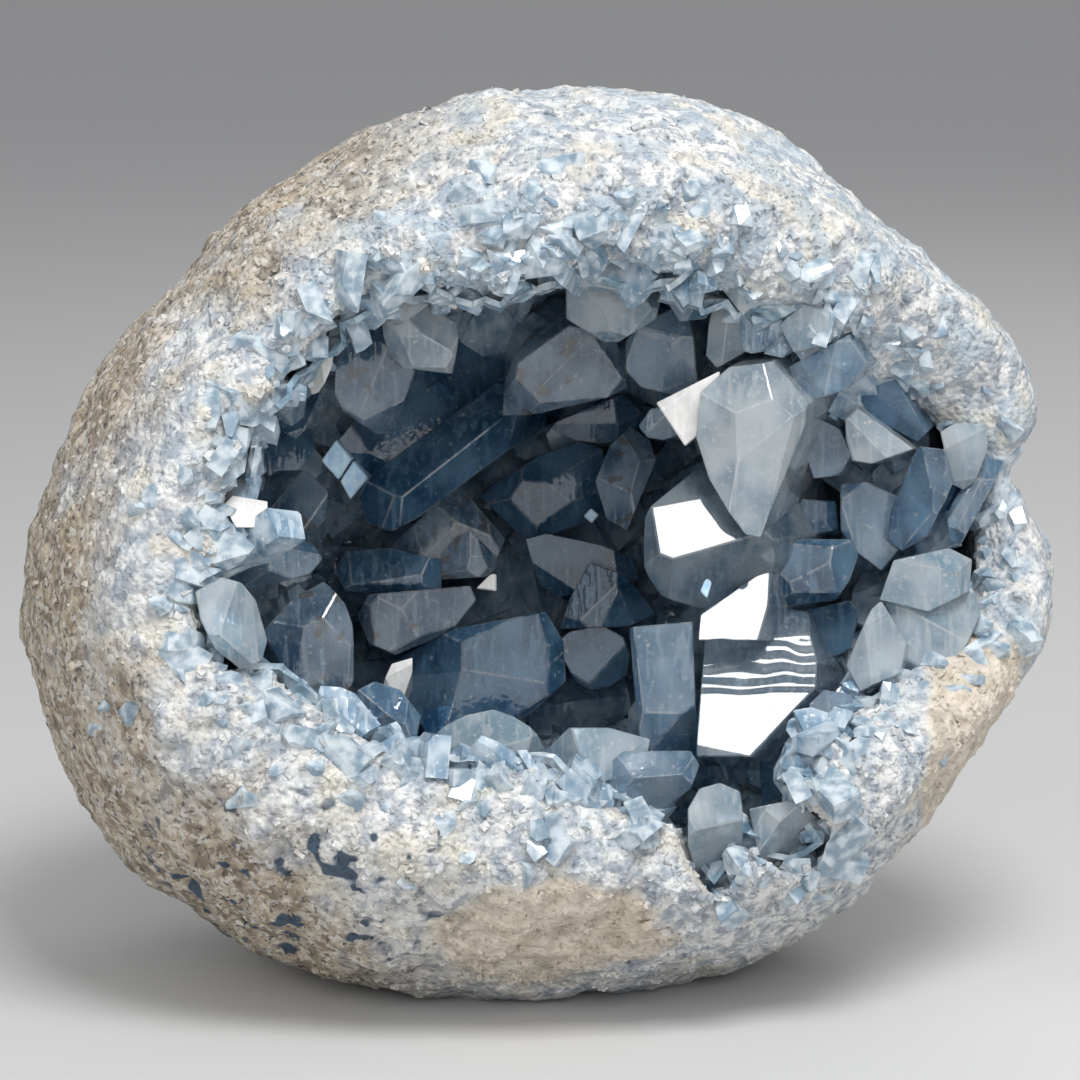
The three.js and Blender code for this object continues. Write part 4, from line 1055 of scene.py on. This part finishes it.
smoky_shader = crystal_shader("smoky_grey", pale=(0.46, 0.60, 0.74), dark=(0.09, 0.19, 0.32), veil_size=7,
                              cloud=0.2, clear=0.72, absorbed=(0.45, 0.63, 0.78), density=25, turned=1.5,
                              stain=0.6)
crystals("smoky_crystals", SMOKY, smoky_shader)


# Milky crystals: celestite full of fine bubbles or growth lines, so it scatters light. They grow from the
# lining near the mouth.
MILKY = [
    # milky lump on the roof
    ([(-27, 36), (-26, 33), (-23.5, 30.5), (-15, 29.5), (-14, 35.5), (-14.5, 38.5), (-24, 44),
        (-27.5, 41)],
        (33, 12), (0, 0),
        [(-20, 36, 0, 0, -0.3), (-19, 31.5, 0.4, 0, -1.6), (-15.5, 35, 0.5, 1.4, 0)]),
    # pale lump above it
    ([(-28.5, 44), (-27.5, 39), (-24, 38), (-19, 41.5), (-18, 48), (-24, 50), (-28, 48)],
        (37, 16), (0, 0),
        [(-24, 43, 0, -0.3, -0.2), (-25, 40, 0.3, -0.4, -1.3)]),
    # pale lumps on the lower right lip
    ([(36, -45.5), (43, -44), (49, -47.5), (50, -52.5), (45, -56), (38, -55)],
        (44, 22), (0, 0),
        [(43, -50, 0, 0.1, 0.3), (39, -49, 0.5, -0.9, 0.1), (46, -53, 0.8, 0.6, -0.9)]),
    # speckled wedge
    ([(52.5, 23), (54, 24), (56.5, 20.5), (63.5, 17), (64, 16.5), (57, 14), (53.5, 14.5), (52.5, 18)],
        (20, -14), (0.2, 0),
        [(56, 18, 0, 0.2, 0.2)]),
    # striated crystal, leaning over the clear one
    ([(27, 26), (31.5, 30), (39, 31), (43, 26), (45.5, 24), (45, 20.5), (42, 13), (40, 8),
        (37.5, 1), (35, 1.5), (28.5, 11), (26, 18)],
        (33, -6), (0.25, 0.15),
        [(36, 16, 0, 0.1, -0.12), (33.5, 29, 0.4, -0.2, 1.4), (30, 11, 0.1, -1.3, -0.75),
        (42, 16, 0.4, 1.2, -0.4)]),
]
milky_shader = crystal_shader("milky_blue", pale=(0.70, 0.77, 0.81), dark=(0.36, 0.47, 0.56), veil_size=6,
                              cloud=0.3, clear=0.55, absorbed=(0.6, 0.8, 0.9), density=20, turned=0.9)
crystals("milky_crystals", MILKY, milky_shader)


# White crystals: small opaque blocks and chips of celestite that catch the light. They have grown between
# the larger ones.
WHITE = [
    # cream lump at the mouth's edge
    ([(-19, 45.5), (-17, 42), (-14.5, 40.5), (-13, 44), (-12, 49), (-18, 50)],
        (40, 20), (0, 0),
        [(-15.5, 45, 0, 0.1, -0.3), (-15.5, 42, 0.4, 0, -1.5)]),
    # white cube at the left edge
    ([(-54.5, 7), (-53, 8.5), (-47, 7.5), (-47, 5), (-48, 3), (-52.5, 3)],
        (47, 24), (0, 0),
        [(-50.5, 6, 0, 0.15, 0.1)]),
    # white splinter
    ([(-40, 30), (-39, 25.5), (-38, 26), (-35.5, 30.5), (-35, 33.5), (-38, 35)],
        (34, 16), (-0.3, 0.3),
        [(-37.5, 30, 0, 0.4, -0.1), (-39, 29, 0.3, -1.2, 0)]),
    # small bright crystal in the middle
    ([(-11, -7.5), (-8.5, -5), (-7.5, -5), (-7.5, -8)],
        (3, -50), (0, 0),
        [(-8.5, -6.5, 0, 0.08, 0.45)]),
    # pale chip beside it
    ([(-27, -23.5), (-25.5, -20), (-22, -19), (-22, -21.5), (-24, -27)],
        (11, -20), (0, -0.3),
        [(-24.5, -22, 0, -0.3, 0.2)]),
    # white neck beside it
    ([(20, 24.5), (26, 26), (28.5, 28.5), (31, 30), (31, 22), (25, 17), (24, 20)],
        (30, 2), (0, 0),
        [(26, 24, 0, -0.2, 0.1)]),
]
white_shader = crystal_shader("white_block", pale=(0.88, 0.87, 0.85), dark=(0.72, 0.71, 0.69), veil_size=3,
                              cloud=0.3)
crystals("white_crystals", WHITE, white_shader)


# The bright crystals: very clear celestite, grown from the lining, whose largest faces are flat enough to
# mirror the light.
BRIGHT = [
    # clear crystal with the upper bright facet
    ([(24.5, 18), (30, 16), (37.5, 0.5), (36.5, -3.5), (33.5, -8), (26, -13), (18, -9),
        (16.5, -6), (15.5, 0), (15.5, 4.5), (20.5, 11)],
        (34, -14), (0.4, 0.05),
        [(26, 3, 4, 0.11, 0.5), (19.8, 3, 3.4, -1.4, 0.26), (21.5, -1.8, 1.2, -0.4, -0.8),
        (29.5, -0.5, 2.7, 0.5, -0.85), (25, 7.8, 6.4, -0.1, 1.6)]),
    # small white crystal between the two bright ones
    ([(31, -9.5), (36.5, -3.5), (37.5, -10.5), (37, -16.5), (27, -16.5), (26.5, -12)],
        (30, -10), (0.4, 0),
        [(32, -11, 3.5, 0.1, 0.5)]),
    # crystal with the lower bright facet
    ([(25.5, -14), (27.5, -10.5), (37, -9), (41.5, -10), (45, -19), (45.5, -25), (36.5, -36.5),
        (27, -36.5)],
        (32, -16), (0.3, -0.1),
        [(36, -28, 4, 0.1, 0.5), (36, -15, 11, 0.05, 1.2), (41.5, -31, 3.2, 1.5, -0.9)]),
]
bright_shader = crystal_shader("bright_blue", pale=(0.72, 0.84, 0.93), dark=(0.25, 0.40, 0.56), veil_size=9,
                               cloud=0.02, clear=0.8, absorbed=(0.42, 0.70, 0.85), density=25,
                               roughness=0.015, turned=0.2, stepped=True)
crystals("bright_crystals", BRIGHT, bright_shader, chips=0)


# Painted highlights: sky-blue pieces on the end of the broad blade, painted where its end facet catches the
# light in two strips, and small painted blue glints deeper in the hollow.
PAINTED_GLINTS = [
    # painted highlight on the end of the broad blade, upper strip
    ([(-37.8, 14.5), (-35.2, 18.2), (-32.5, 14.8), (-34.8, 11.2)], (8, 0), (0.2, 0.1), []),
    # lower strip of the painted highlight
    ([(-34.5, 11), (-32.2, 14.5), (-29.5, 11.5), (-32.8, 7.8)], (7, 0), (0.2, 0.1), []),
    # glint in the deep middle
    ([(7.5, 5), (8.8, 6.4), (10.2, 5.2), (8.9, 3.7)], (-15, -22), (0, 0), []),
    # glint at the tip of the clear crystal
    ([(27.6, -8), (28.6, -5.6), (29.6, -6.4), (28.8, -9.2)], (27.2, 20), (0, 0), []),
]
glint_shader = crystal_shader("painted_glint_blue", pale=(0.60, 0.84, 1.0), dark=(0.34, 0.62, 0.90), veil_size=2,
                            cloud=0.1)
crystals("painted_glint_pieces", PAINTED_GLINTS, glint_shader, chips=0)
